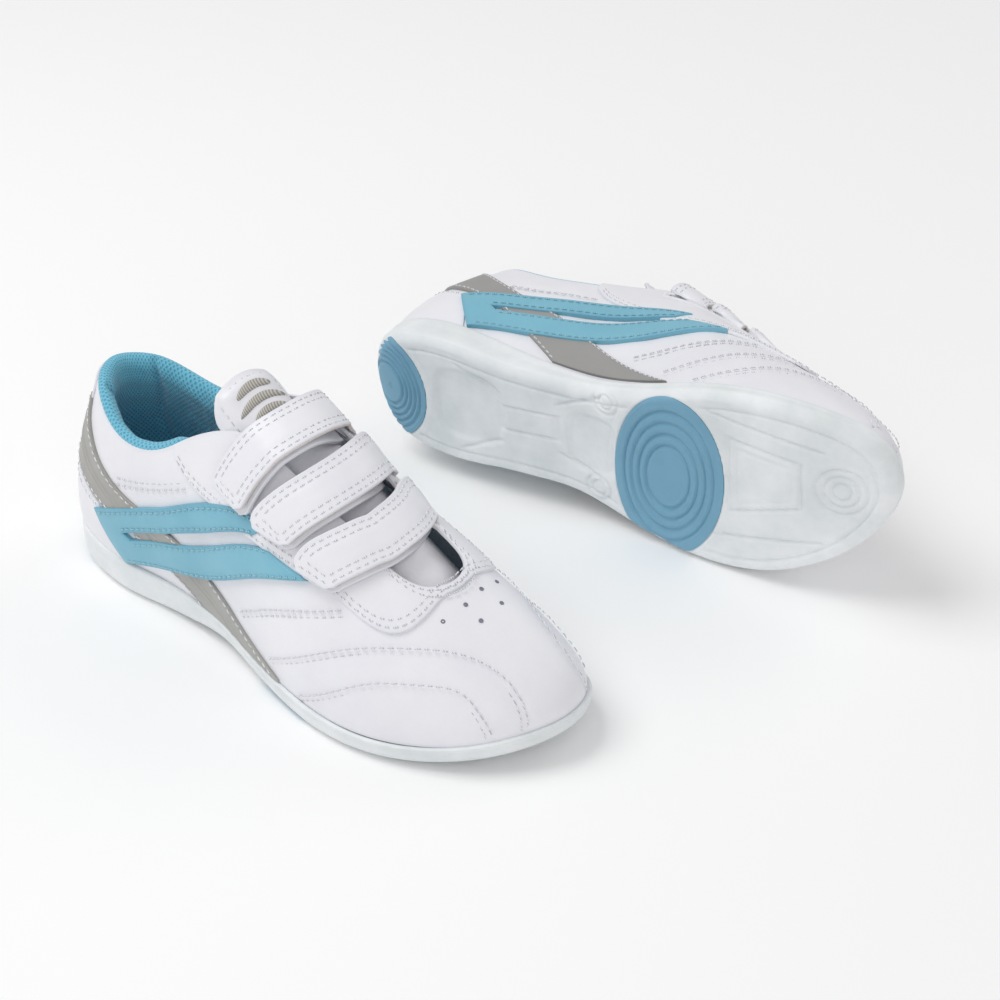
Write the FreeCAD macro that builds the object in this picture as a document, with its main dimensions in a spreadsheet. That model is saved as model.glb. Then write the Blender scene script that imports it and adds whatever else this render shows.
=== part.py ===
"""A pair of low cheer shoes with three hook-and-loop straps each.

Right shoe frame, in millimetres: X runs from the heel back to the toe, Y points to the
inner (medial) side and Z is up from the floor.  The left shoe is the mirror image, lying
on its outer side beside the right one.

The upper is one smooth surface.  Its first direction, "turn", counts the stations round
the shoe: heel, outer side, toe, inner side.  Its second direction, "rise", runs from the
feather line on the sole (0) to the edge of the foot opening and the throat (1).
"""
import FreeCAD, Part
import math
import os

Vector = FreeCAD.Vector
doc = FreeCAD.newDocument("cheer_shoes")

# ---------------------------------------------------------------- driving dimensions
DIMENSIONS = {
    "sole_rim": 1.8,          # how far the sole stands out past the upper
    "sole_wall": 3.4,         # thickness of the sole's side wall
    "sole_floor": 4.6,        # rim height above the board the foot stands on
    "pad_depth": 1.8,         # coloured tread pads let into the sole
    "board_thick": 1.6,
    "insock_thick": 3.0,
    "leather": 1.2,           # the panels of the upper
    "trim_thick": 0.7,        # bands and back tab
    "strap_width": 24.0,
    "strap_thick": 1.4,
    "patch_thick": 0.6,       # hook and loop tape
    "patch_width": 18.0,
    "gap": 0.3,
    "heel_pad_x": 11.0,       # tread pads: centres, and half sizes across and along the shoe
    "heel_pad_y": -1.0,
    "heel_pad_across": 27.0,
    "heel_pad_along": 22.0,
    "heel_pad_turn": 90.0,
    "fore_pad_x": 157.0,
    "fore_pad_y": -8.0,
    "fore_pad_across": 42.0,
    "fore_pad_along": 27.0,
    "fore_pad_turn": 81.0,
    "slot_width": 5.6,
    "slot_length": 27.0,
    "prism_height": 60.0,
    "left_yaw": 7.6,          # how the left shoe lies beside the right one
    "left_pitch": -3.0,
    "left_roll": -86.0,
    "left_x": 48.9,
    "left_y": 133.4,
    "left_z": 45.77,
    "pair_x": -151.48,        # from the right heel to the middle of the pair's footprint
    "pair_y": -96.86,
}
sheet = doc.addObject("Spreadsheet::Sheet", "Sizes")
for row, (alias, value) in enumerate(DIMENSIONS.items(), start=1):
    sheet.set("A%d" % row, alias)
    sheet.set("B%d" % row, str(value))
    sheet.setAlias("B%d" % row, alias)
doc.recompute()


def size(alias):
    """One driving dimension, read from the sheet."""
    return float(sheet.get(alias))


# ---------------------------------------------------------------- the upper's stations
# feather point; handle outward and up; opening point; handle from the opening point down
STATIONS = [
    ((1.5, 0, 17), (6, 22), (13.5, 0, 88.5), (-4, 0, -24)),
    ((8, -18, 17), (5, 21), (17, -10, 87.5), (-4, -5, -23)),
    ((22, -27, 16.8), (5, 20), (26, -18.5, 84), (-3, -6, -21)),
    ((45, -31, 16.4), (4, 19), (38.5, -24.5, 78), (0, -6, -19)),
    ((68, -30, 15.8), (4, 18), (53, -26.5, 74.5), (2, -5, -18)),
    ((90, -30.5, 14.6), (3.5, 20), (68.5, -25, 78), (3, -6, -21)),
    ((108, -32.5, 12.8), (3, 22), (81, -20.5, 86), (4, -9, -24)),
    ((125, -37, 11.2), (2.5, 23), (94, -16.5, 93), (5, -11, -23)),
    ((145, -42, 10), (2, 23), (112, -15, 97.5), (6, -12, -21)),
    ((168, -46, 9.2), (1.5, 23), (132, -14.5, 91), (8, -14, -18)),
    ((190, -46, 9), (1, 23), (151, -13.5, 81), (10, -14, -15)),
    ((211, -40.5, 9.8), (1, 23), (166, -11.5, 72.5), (14, -11, -12)),
    ((231, -29.5, 12), (1, 22), (175.5, -7.5, 67.5), (20, -8, -10)),
    ((247, -14, 15.5), (1.5, 20), (180, -1.5, 65), (26, -4, -11)),
    ((256, 6, 18.5), (2, 18), (181, 4, 65), (30, 1, -12)),
    ((251, 25, 17), (1.5, 19), (179.5, 9.5, 66), (27, 6, -11)),
    ((236, 36, 13), (1, 21), (173.5, 13.5, 69), (20, 9, -11)),
    ((215, 41, 10.2), (1, 23), (162, 16.5, 75), (15, 11, -13)),
    ((193, 41.5, 9.4), (1.5, 23), (146, 17.5, 83.5), (11, 12, -16)),
    ((170, 37.5, 10), (2, 23), (128, 18, 92.5), (8, 11, -20)),
    ((148, 30.5, 11.5), (2.5, 23), (111, 18.5, 97.5), (6, 9, -23)),
    ((127, 24.5, 13.6), (3, 23), (96, 19.5, 93.5), (5, 8, -24)),
    ((108, 22.5, 15), (3.5, 22), (84, 22, 87), (3, 6, -24)),
    ((88, 23.5, 16), (4, 20), (70.5, 25, 80), (2, 5, -22)),
    ((66, 26.5, 16.5), (4, 19), (55, 26, 76.5), (1, 5, -20)),
    ((44, 29.5, 16.8), (4, 20), (39, 24, 79.5), (0, 6, -20)),
    ((22, 27, 17), (5, 20), (26, 18.5, 85), (-3, 6, -21)),
    ((8, 18, 17), (5, 21), (17, 10, 87.5), (-4, 5, -23)),
]
COUNT = len(STATIONS)
TOE = 14
# height of the crest of the instep and underside of the sole, as (x, z)
CREST = [(92, 108.5), (112, 104), (128, 99), (142, 91.5), (157, 82), (170, 73.5), (183, 65)]
FEATHER_SIDE = [(-6, 17), (20, 17), (45, 16.6), (70, 16), (92, 14.8), (112, 12.9), (130, 11.2),
                (150, 9.9), (170, 9.3), (195, 9), (215, 10.1), (235, 13), (250, 16.7), (266, 21)]
TREAD_SIDE = [(-6, 11), (2, 6.8), (10, 3.2), (20, 0.8), (32, 0), (60, 0), (82, 1.4), (104, 3.6),
              (124, 3.4), (144, 1.2), (163, 0), (192, 0), (212, 1.2), (234, 4.4), (252, 9), (266, 14)]


# ---------------------------------------------------------------- small mathematics
def solve(rows, right):
    """Solve a small dense linear system by elimination."""
    total = len(rows)
    table = [list(row) + [value] for row, value in zip(rows, right)]
    for pivot in range(total):
        best = max(range(pivot, total), key=lambda line: abs(table[line][pivot]))
        table[pivot], table[best] = table[best], table[pivot]
        for line in range(pivot + 1, total):
            factor = table[line][pivot] / table[pivot][pivot]
            if factor:
                for column in range(pivot, total + 1):
                    table[line][column] -= factor * table[pivot][column]
    found = [0.0] * total
    for line in range(total - 1, -1, -1):
        known = sum(table[line][column] * found[column] for column in range(line + 1, total))
        found[line] = (table[line][total] - known) / table[line][line]
    return found


def ring_spline(values):
    """A closed cubic spline through values at 0, 1, 2 and so on."""
    total = len(values)
    rows = []
    right = []
    for index in range(total):
        row = [0.0] * total
        row[index] = 4.0
        row[(index - 1) % total] = 1.0
        row[(index + 1) % total] = 1.0
        rows.append(row)
        right.append(6 * (values[(index + 1) % total] - 2 * values[index] + values[index - 1]))
    bend = solve(rows, right)

    def at(turn):
        turn %= total
        low = int(turn) % total
        high = (low + 1) % total
        part = turn - int(turn)
        rest = 1 - part
        return (rest * values[low] + part * values[high]
                + ((rest ** 3 - rest) * bend[low] + (part ** 3 - part) * bend[high]) / 6)
    return at


def curve_through(points):
    """A natural cubic spline z(x) through (x, z) points."""
    places = [point[0] for point in points]
    heights = [point[1] for point in points]
    last = len(points) - 1
    rows = [[0.0] * (last + 1) for _ in points]
    right = [0.0] * (last + 1)
    rows[0][0] = 1.0
    rows[last][last] = 1.0
    for index in range(1, last):
        before = places[index] - places[index - 1]
        after = places[index + 1] - places[index]
        rows[index][index - 1] = before
        rows[index][index] = 2 * (before + after)
        rows[index][index + 1] = after
        right[index] = 6 * ((heights[index + 1] - heights[index]) / after
                            - (heights[index] - heights[index - 1]) / before)
    bend = solve(rows, right)

    def at(place):
        index = 0
        while index < last - 1 and place > places[index + 1]:
            index += 1
        span = places[index + 1] - places[index]
        part = (place - places[index]) / span
        rest = 1 - part
        return (rest * heights[index] + part * heights[index + 1]
                + ((rest ** 3 - rest) * bend[index] + (part ** 3 - part) * bend[index + 1])
                * span * span / 6)
    return at


def mix(low, high, part):
    return low + (high - low) * part


# ---------------------------------------------------------------- the upper's surface
def outward(index):
    """Level unit vector pointing away from the shoe at a feather station."""
    before = STATIONS[index - 1][0]
    after = STATIONS[(index + 1) % COUNT][0]
    along = Vector(after[0] - before[0], after[1] - before[1], 0).normalize()
    return Vector(along.y, -along.x, 0)


def control_rings():
    """Splines of the four control curves between the feather line and the opening."""
    rings = [[], [], [], []]
    for index, (feather, low, opening, high) in enumerate(STATIONS):
        foot = Vector(*feather)
        edge = Vector(*opening)
        rings[0].append(foot)
        rings[1].append(foot + outward(index) * low[0] + Vector(0, 0, low[1]))
        rings[2].append(edge + Vector(*high))
        rings[3].append(edge)
    return [[ring_spline([point[axis] for point in ring]) for axis in range(3)] for ring in rings]


RINGS = control_rings()


def upper(turn, rise):
    """Point of the upper's outer surface."""
    rest = 1 - rise
    weights = (rest ** 3, 3 * rest * rest * rise, 3 * rest * rise * rise, rise ** 3)
    total = [0.0, 0.0, 0.0]
    for ring, weight in zip(RINGS, weights):
        for axis in range(3):
            total[axis] += weight * ring[axis](turn)
    return Vector(*total)


def upper_normal(turn, rise):
    step = 0.01
    along = upper(turn + step, rise) - upper(turn - step, rise)
    above = upper(turn, rise + step) - upper(turn, rise - step)
    return along.cross(above).normalize()


def lifted(turn, rise, height):
    """Point a given height above the upper's surface."""
    return upper(turn, rise) + upper_normal(turn, rise) * height


crest = curve_through(CREST)
feather_side = curve_through(FEATHER_SIDE)
tread_side = curve_through(TREAD_SIDE)
DOME_MIDDLE = 2.0
THROAT_OUTER = (7.0, 13.9)
THROAT_INNER = (21.0, 14.1)


def throat_edge(x, turns):
    """Point of the throat's edge at x, on the side given by its range of turns."""
    low, high = turns
    for _ in range(40):
        middle = (low + high) / 2
        if upper(middle, 1).x < x:
            low = middle
        else:
            high = middle
    return upper((low + high) / 2, 1)


def dome(x, y):
    """Point of the smooth bridge over the throat."""
    edge = throat_edge(x, THROAT_OUTER if y < DOME_MIDDLE else THROAT_INNER)
    part = (y - DOME_MIDDLE) / (edge.y - DOME_MIDDLE)
    return Vector(x, y, crest(x) - (crest(x) - edge.z) * part * part)


def place_at(x, y):
    """Turn and rise of the upper's point at plan position x, y beside the throat."""
    outer = y < DOME_MIDDLE
    turn = 5 + (x - 70) / 19 if outer else 23 - (x - 70) / 19
    rise = 0.85
    step = 0.002
    for _ in range(40):
        here = upper(turn, rise)
        miss_x = x - here.x
        miss_y = y - here.y
        if abs(miss_x) + abs(miss_y) < 1e-7:
            break
        by_turn = (upper(turn + step, rise) - here) * (1 / step)
        by_rise = (upper(turn, rise + step) - here) * (1 / step)
        spread = by_turn.x * by_rise.y - by_rise.x * by_turn.y
        turn += max(-0.5, min(0.5, (miss_x * by_rise.y - by_rise.x * miss_y) / spread))
        rise += max(-0.1, min(0.1, (by_turn.x * miss_y - miss_x * by_turn.y) / spread))
    return turn, rise


def skin(x, y):
    """Point at plan position x, y of the upper, with the throat bridged by the dome."""
    edge = throat_edge(x, THROAT_OUTER if y < DOME_MIDDLE else THROAT_INNER)
    if x < 180 and abs(y - DOME_MIDDLE) <= abs(edge.y - DOME_MIDDLE):
        return dome(x, y)
    return upper(*place_at(x, y))


# ---------------------------------------------------------------- solids
def surface_through(grid):
    face = Part.BSplineSurface()
    face.interpolate(grid)
    return face.toShape()


def slab(lower, higher):
    """Solid between two grids of points with the same layout."""
    bottom = surface_through(lower)
    top = surface_through(higher)
    faces = [bottom, top]
    borders = [
        (lambda grid: grid[0]), (lambda grid: grid[-1]),
        (lambda grid: [row[0] for row in grid]), (lambda grid: [row[-1] for row in grid]),
    ]
    for border in borders:
        edges = []
        for grid, face in ((lower, bottom), (higher, top)):
            ends = border(grid)
            edges.append(nearest_edge(face, ends[0], ends[-1], ends[len(ends) // 2]))
        faces.append(Part.makeRuledSurface(edges[0], edges[1]))
    shell = Part.Shell(Part.makeCompound(faces).Faces)
    shell.sewShape()
    solid = Part.Solid(shell)
    if solid.Volume < 0:
        solid.reverse()
    return solid


def nearest_edge(face, first, last, middle):
    """The border edge of a face that runs between two points."""
    def miss(edge):
        centre = edge.valueAt((edge.FirstParameter + edge.LastParameter) / 2)
        ends = [vertex.Point for vertex in edge.Vertexes]
        straight = (ends[0] - first).Length + (ends[-1] - last).Length
        crossed = (ends[0] - last).Length + (ends[-1] - first).Length
        return min(straight, crossed) + 0.1 * (centre - middle).Length
    return min(face.Edges, key=miss)


def panel(place, low, high, along=14, across=6):
    """Solid patch of the upper: place(a, b) gives turn and rise for a and b from 0 to 1."""
    grids = []
    for height in (low, high):
        grid = []
        for i in range(along + 1):
            grid.append([lifted(*place(i / along, j / across), height) for j in range(across + 1)])
        grids.append(grid)
    return slab(*grids)


def window(turn_low, turn_high, rise_low, rise_high):
    """Map of a plain rectangle of turn and rise."""
    return lambda a, b: (mix(turn_low, turn_high, a), mix(rise_low, rise_high, b))


def smooth_line(points):
    """Curve through (turn, rise) points, evenly spaced over 0 to 1."""
    steps = len(points) - 1
    turn_at = curve_through([(index / steps, point[0]) for index, point in enumerate(points)])
    rise_at = curve_through([(index / steps, point[1]) for index, point in enumerate(points)])
    return lambda part: (turn_at(part), rise_at(part))


def between(low_points, high_points):
    """Map of the patch between two drawn edges, each a row of (turn, rise) points."""
    low_edge = smooth_line(low_points)
    high_edge = smooth_line(high_points)

    def place(a, b):
        low = low_edge(a)
        high = high_edge(a)
        return mix(low[0], high[0], b), mix(low[1], high[1], b)
    return place


def mirrored(points):
    """The same (turn, rise) points on the inner side of the shoe."""
    return [(COUNT - turn, rise) for turn, rise in points]


def ribbon(centres, width, thick, lean):
    """Strap of constant width along a row of centre points; lean is its width direction."""
    grids = [[], []]
    last = len(centres) - 1
    for index, centre in enumerate(centres):
        along = centres[min(index + 1, last)] - centres[max(index - 1, 0)]
        normal = lean.cross(along).normalize()
        side = along.cross(normal).normalize()
        for grid, height in zip(grids, (-thick / 2, thick / 2)):
            row = []
            for part in (-0.5, -0.25, 0, 0.25, 0.5):
                row.append(centre + side * (part * width) + normal * height)
            grid.append(row)
    return slab(*grids)


# ---------------------------------------------------------------- the sole
def outline(inset):
    """Closed plan curve of the sole, inset from its outer edge."""
    points = []
    steps = 2 * COUNT
    for index in range(steps):
        turn = index * COUNT / steps
        here = upper(turn, 0)
        along = upper(turn + 0.02, 0) - upper(turn - 0.02, 0)
        out = Vector(along.y, -along.x, 0).normalize()
        points.append(Vector(here.x, here.y, 0) + out * (size("sole_rim") - inset))
    curve = Part.BSplineCurve()
    curve.interpolate(points, PeriodicFlag=True)
    return Part.Face(Part.Wire(curve.toShape()))


def prism(name, inset):
    """Outline of the sole, extruded to the height in the sheet."""
    base = doc.addObject("Part::Feature", name + "_outline")
    base.Shape = outline(inset)
    body = doc.addObject("Part::Extrusion", name + "_prism")
    body.Base = base
    body.DirMode = "Custom"
    body.Dir = Vector(0, 0, 1)
    body.Solid = True
    body.setExpression("LengthFwd", "Sizes.prism_height")
    return body


def side_layer(name, bottom, top):
    """Layer between two side curves z(x), wider than the shoe."""
    places = [-5.5 + 11.3 * index for index in range(25)]
    half = 70.0
    wire = []
    for curve in (bottom, top):
        spline = Part.BSplineCurve()
        spline.interpolate([Vector(x, -half, curve(x)) for x in places])
        wire.append(spline.toShape())
    ends = [
        Part.makeLine(Vector(places[k], -half, bottom(places[k])), Vector(places[k], -half, top(places[k])))
        for k in (0, -1)
    ]
    face = Part.Face(Part.Wire([wire[0], ends[1], wire[1], ends[0]]))
    layer = doc.addObject("Part::Feature", name + "_layer")
    layer.Shape = face.extrude(Vector(0, 2 * half, 0))
    return layer


def boolean(kind, name, first, second):
    result = doc.addObject(kind, name)
    if kind == "Part::Cut":
        result.Base = first
        result.Tool = second
    else:
        result.Shapes = [first, second]
    return result


def common(name, first, second):
    return boolean("Part::MultiCommon", name, first, second)


def cut(name, first, second):
    return boolean("Part::Cut", name, first, second)


def pad_prism(name, which, grow):
    """Oval prism of a tread pad, sized from the sheet; grow leaves room round it."""
    oval = doc.addObject("Part::Ellipse", name + "_oval")
    oval.setExpression("MajorRadius", "Sizes.%s_across + %g" % (which, grow))
    oval.setExpression("MinorRadius", "Sizes.%s_along + %g" % (which, grow))
    oval.Placement = FreeCAD.Placement(Vector(), FreeCAD.Rotation(size(which + "_turn"), 0, 0))
    oval.setExpression("Placement.Base.x", "Sizes.%s_x" % which)
    oval.setExpression("Placement.Base.y", "Sizes.%s_y" % which)
    oval.setExpression("Placement.Base.z", "-1")
    body = doc.addObject("Part::Extrusion", name + "_prism")
    body.Base = oval
    body.DirMode = "Custom"
    body.Dir = Vector(0, 0, 1)
    body.Solid = True
    body.setExpression("LengthFwd", "Sizes.prism_height")
    return body


def level(curve, lift):
    return lambda x: curve(x) + lift


nodes = {}


def make_sole():
    """Cup sole, its two tread pads, the board and the insock."""
    floor = level(feather_side, -size("sole_floor"))
    gap = size("gap")
    block = common("sole_block", prism("sole", 0), side_layer("sole", tread_side, feather_side))
    well = common("sole_well", prism("well", size("sole_wall")),
                  side_layer("well", floor, level(feather_side, 20)))
    shell = cut("sole_shell", block, well)
    depth = size("pad_depth")
    for which, node in (("heel_pad", "heel_pad"), ("fore_pad", "forefoot_pad")):
        room = common(node + "_room", pad_prism(node + "_room_plan", which, 0.1),
                      side_layer(node + "_room", level(tread_side, -2), level(tread_side, depth)))
        shell = cut(node + "_seat", shell, room)
        blank = common(node + "_blank", pad_prism(node + "_plan", which, 0),
                       side_layer(node, tread_side, level(tread_side, depth - 0.1)))
        nodes[node] = common(node + "_trim", blank, prism(node + "_edge", 0))
    nodes["outsole"] = shell
    board_top = level(floor, size("board_thick"))
    wall = size("sole_wall") + gap
    nodes["insole_board"] = common("board", prism("board", wall + 0.6),
                                   side_layer("board", level(floor, 0.1), board_top))
    nodes["insock"] = common("sock", prism("sock", wall + 1.6),
                             side_layer("sock", level(board_top, 0.1),
                                        level(board_top, size("insock_thick"))))


def add_shape(name, shape):
    feature = doc.addObject("Part::Feature", name + "_shape")
    feature.Shape = shape
    nodes[name] = feature


# ---------------------------------------------------------------- the straps
# crest position, forward lean from outer to inner side, outer end of the top layer, extra lift
STRAPS = [(118.0, 0.20, -25.5, 1.6), (142.0, 0.13, -29.0, 0.6), (164.8, 0.11, -31.0, 0.4)]
SLOT_Y = 21.0
BASE_HEIGHT = 2.4
LOOP_HEIGHT = 4.0
HOOK_HEIGHT = 5.1
TOP_HEIGHT = 6.6
FOLD_HEIGHT = 4.0
THROAT_Y = -16.0


def strap_point(strap, y, height):
    """Point above the shoe on a strap's centre line."""
    x_crest, lean = STRAPS[strap][:2]
    step = 1.2
    here = skin(x_crest + lean * y, y)
    low = skin(x_crest + lean * (y - step), y - step)
    high = skin(x_crest + lean * (y + step), y + step)
    lengthwise = skin(x_crest + lean * y + step, y) - skin(x_crest + lean * y - step, y)
    return here + lengthwise.cross(high - low).normalize() * height


def strap_lean(strap):
    """Width direction of a strap: down the instep, square to its centre line."""
    x_crest, lean = STRAPS[strap][:2]
    slope = (crest(x_crest + 6) - crest(x_crest - 6)) / 12
    along = Vector(lean, 1, 0).normalize()
    down = Vector(1, 0, slope)
    return (down - along * down.dot(along)).normalize()


def heights(knots):
    """Height above the skin, eased from one (y, height) knot to the next."""
    def at(y):
        for (y_low, low), (y_high, high) in zip(knots, knots[1:]):
            if y <= y_high:
                part = max(0, (y - y_low) / (y_high - y_low))
                return mix(low, high, part * part * (3 - 2 * part))
        return knots[-1][1]
    return at


def span(low, high, steps):
    return [mix(low, high, index / steps) for index in range(steps + 1)]


def strap_shapes(strap):
    """Base layer with its fold, top layer, loop patch and hook patch of one strap."""
    end, lift = STRAPS[strap][2:]
    lean = strap_lean(strap)
    width = size("strap_width")
    thick = size("strap_thick")
    outer = BASE_HEIGHT + lift
    low = heights([(end, outer), (THROAT_Y + 8, outer), (15, -2.6), (SLOT_Y, -2.6)])
    top = heights([(end, TOP_HEIGHT + lift), (THROAT_Y, TOP_HEIGHT + lift), (SLOT_Y - 2, FOLD_HEIGHT)])
    base_line = [strap_point(strap, y, low(y)) for y in span(end + 3, SLOT_Y - 1.6, 18)]
    base_line.append(strap_point(strap, SLOT_Y - 0.3, -1.2))
    base_line.append(strap_point(strap, SLOT_Y, 0.6))
    base_line.append(strap_point(strap, SLOT_Y - 0.2, 2.8))
    top_line = [strap_point(strap, y, top(y)) for y in span(end, SLOT_Y - 2.4, 14)]
    loop_line = [strap_point(strap, y, LOOP_HEIGHT + lift) for y in span(end + 4, THROAT_Y, 5)]
    hook_line = [strap_point(strap, y, HOOK_HEIGHT + lift) for y in span(end + 3, THROAT_Y - 1, 5)]
    tape = size("patch_thick")
    tape_width = size("patch_width")
    return (ribbon(base_line, width - 1.5, thick, lean), ribbon(top_line, width, thick, lean),
            ribbon(loop_line, tape_width, tape, lean), ribbon(hook_line, tape_width, tape, lean))


def slot_map(strap, grow):
    """Rectangle of turn and rise of a strap's slot on the inner side, grown all round."""
    turn, rise = place_at(STRAPS[strap][0] + STRAPS[strap][1] * SLOT_Y, SLOT_Y)
    per_turn = (upper(turn + 0.5, rise) - upper(turn - 0.5, rise)).Length
    per_rise = (upper(turn, rise + 0.05) - upper(turn, rise - 0.05)).Length * 10
    half_turn = (size("slot_length") / 2 + grow) / per_turn
    half_rise = (size("slot_width") / 2 + grow) / per_rise
    return window(turn - half_turn, turn + half_turn, rise - half_rise, rise + half_rise)


def make_straps():
    bases = []
    loops = []
    for strap in range(len(STRAPS)):
        base, top, loop, hook = strap_shapes(strap)
        bases.append(base)
        loops.append(loop)
        add_shape("strap_%d" % (strap + 1), top)
        add_shape("hook_tape_%d" % (strap + 1), hook)
    add_shape("strap_bases", Part.makeCompound(bases))
    add_shape("loop_tapes", Part.makeCompound(loops))


def slots(shape):
    """Cut the three strap slots."""
    for strap in range(len(STRAPS)):
        shape = shape.cut(panel(slot_map(strap, 0), -3, 4, 6, 3))
    return shape


def make_slot_frames():
    """Reinforcing frames on the inner side, one round each slot."""
    frames = []
    for strap in range(len(STRAPS)):
        blank = panel(slot_map(strap, 1.8), 1.4, 1.8, 6, 3)
        frames.append(blank.cut(panel(slot_map(strap, 0.5), -3, 4, 6, 3)))
    add_shape("slot_frames", Part.makeCompound(frames))


# ---------------------------------------------------------------- the upper's pieces
# lower edge of the throat overlay, as (turn, rise), outer side first
OVERLAY_EDGE = [(5.6, 0.93), (6.1, 0.77), (7.0, 0.65), (8.1, 0.58), (9.4, 0.6), (10.2, 0.6), (10.9, 0.55),
                (11.7, 0.58), (12.9, 0.73), (14, 0.765), (15.1, 0.73), (16.3, 0.58), (17.1, 0.55),
                (17.8, 0.6), (18.6, 0.6), (19.9, 0.58), (21.0, 0.65), (21.9, 0.77), (22.4, 0.93)]
# edges of the forked side panel, its slot and the slanting band, as (turn, rise) on the outer side
FORK_LOW = [(3.15, 0.02), (4.5, 0.19), (6.2, 0.315), (8.0, 0.45), (9.5, 0.6)]
FORK_HIGH = [(2.5, 0.33), (3.7, 0.53), (5.25, 0.665), (7.05, 0.68), (8.6, 0.68)]
FORK_SLOT_LOW = [(3.5, 0.272), (4.83, 0.417), (6.67, 0.5), (8.5, 0.593)]
FORK_SLOT_HIGH = [(3.34, 0.3), (4.95, 0.495), (6.35, 0.548), (8.1, 0.61)]
BAND_LOW = [(0.7, 0.56), (2.4, 0.42), (3.66, 0.32), (4.43, 0.18), (5.2, 0.02)]
BAND_HIGH = [(1.2, 0.9), (3.1, 0.64), (4.8, 0.48), (6.3, 0.24), (8.2, 0.02)]
OPENING_DIP = 0.86
overlay_edge = smooth_line(OVERLAY_EDGE)


def overlay(a, b):
    """Map of the throat overlay, from its lower edge to the throat's own edge."""
    turn, edge = overlay_edge(a)
    front = max(0, 1 - ((turn - TOE) / 2.6) ** 2)
    return turn, mix(edge, mix(1, OPENING_DIP, front * front * (3 - 2 * front)), b)


def overlay_zone(a, b):
    """Map of the area that the overlay hides from the panels under its edge."""
    turn, edge = overlay_edge(a)
    return turn, mix(edge - 0.012, 1, b)


def make_upper():
    leather = size("leather")
    trim = size("trim_thick")
    seam = 0.015
    add_shape("quarter_outer", panel(window(0.02, 9.2 - seam, 0.01, 1), -leather, 0, 24, 8))

    def inner(a, b):
        turn = mix(27.98, 18.8 + seam, a)
        back = min(1, max(0, (turn - 20.2) / 1.4))
        return turn, mix(0.01, mix(0.8, 1, back * back * (3 - 2 * back)), 1 - b)
    add_shape("quarter_inner", panel(inner, -leather, 0, 28, 8))
    add_shape("vamp", panel(window(9.2 + seam, 18.8 - seam, 0.03, 0.8), -leather, 0, 30, 8))
    add_shape("throat_overlay", slots(panel(overlay, 0.1, 0.1 + leather, 60, 5)))
    add_shape("back_tab", panel(window(-1.3, 1.3, 0.70, 0.97), 0.1, 0.1 + trim, 10, 4))
    foxing_low = [(0.12, 0.04), (1.6, 0.04), (3.0, 0.02)]
    foxing_high = [(0.12, 0.42), (1.3, 0.4), (2.35, 0.33)]
    add_shape("heel_foxing", Part.makeCompound([
        panel(between(edge(foxing_low), edge(foxing_high)), 0.2, 0.2 + trim, 14, 8)
        for edge in (list, mirrored)
    ]))
    for side, edge in (("outer", list), ("inner", mirrored)):
        band = panel(between(edge(BAND_LOW), edge(BAND_HIGH)), 0.95, 0.95 + trim, 20, 4)
        add_shape("band_" + side, band.cut(panel(overlay_zone, 0.4, 6, 60, 4)))
        prongs = panel(between(edge(FORK_LOW), edge(FORK_HIGH)), 1.75, 1.75 + leather, 24, 6)
        slot = panel(between(edge(FORK_SLOT_LOW), edge(FORK_SLOT_HIGH)), 0.5, 6, 24, 4)
        add_shape("fork_" + side, prongs.cut(slot).cut(panel(overlay_zone, 0.4, 6, 60, 4)))


def make_inside():
    gap = size("gap")
    skin_side = -size("leather") - 0.1
    add_shape("heel_counter", panel(window(-4.5, 4.5, 0.03, 0.58), skin_side - 1.1, skin_side, 24, 5))
    add_shape("toe_puff", panel(window(11.2, 16.8, 0.03, 0.42), skin_side - 0.8, skin_side, 20, 5))
    add_shape("collar_lining", panel(window(-5.6, 5.6, 0.17, 0.985), skin_side - 5.2,
                                     skin_side - 1.1 - gap, 30, 7))
    add_shape("vamp_lining", panel(window(6.0, 22.0, 0.06, 0.70), skin_side - 1.6 - gap,
                                   skin_side - 0.8 - gap, 44, 6))


TONGUE_FALL = 0.024


def tongue_point(x, part, depth):
    """Point of the tongue; part runs from its outer edge (-1) to its inner edge (1)."""
    half = mix(11.0, 15.5, min(1, max(0, (183 - x) / 60)))
    y = DOME_MIDDLE + part * half
    z = crest(max(x, 92)) - TONGUE_FALL * (y - DOME_MIDDLE) ** 2
    return Vector(x, y, z - depth)


def make_tongue():
    grids = []
    for bottom in (True, False):
        grid = []
        for x in span(95, 184, 12):
            row = []
            for part in span(-1, 1, 8):
                pad = 1.8 * math.sqrt(max(0, 1 - part * part))
                rise = 6.0 * max(0, (112 - x) / 17) ** 2
                row.append(tongue_point(x, part, (9.4 + pad if bottom else 7.6 - pad) - rise))
            grid.append(row)
        grids.append(grid)
    add_shape("tongue", slab(*grids))
    motif = []
    for lift in (0.9, 1.5):
        grid = []
        for x in span(98, 105, 3):
            row = []
            for part in span(-0.55, 0.55, 5):
                pad = 1.8 * math.sqrt(1 - part * part)
                rise = 6.0 * max(0, (112 - x) / 17) ** 2
                row.append(tongue_point(x, part, 7.6 - pad - rise - lift))
            grid.append(row)
        motif.append(grid)
    add_shape("tongue_motif", slab(*motif))


# ---------------------------------------------------------------- the pair
def right_placement():
    return FreeCAD.Placement(Vector(size("pair_x"), size("pair_y"), 0), FreeCAD.Rotation())


def left_placement():
    turn = FreeCAD.Rotation(size("left_yaw"), size("left_pitch"), size("left_roll"))
    centre = Vector(129, 0, 0)
    target = Vector(129 + size("left_x"), size("left_y"), size("left_z"))
    beside = FreeCAD.Placement(target - turn.multVec(centre), turn)
    return right_placement().multiply(beside)


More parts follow.
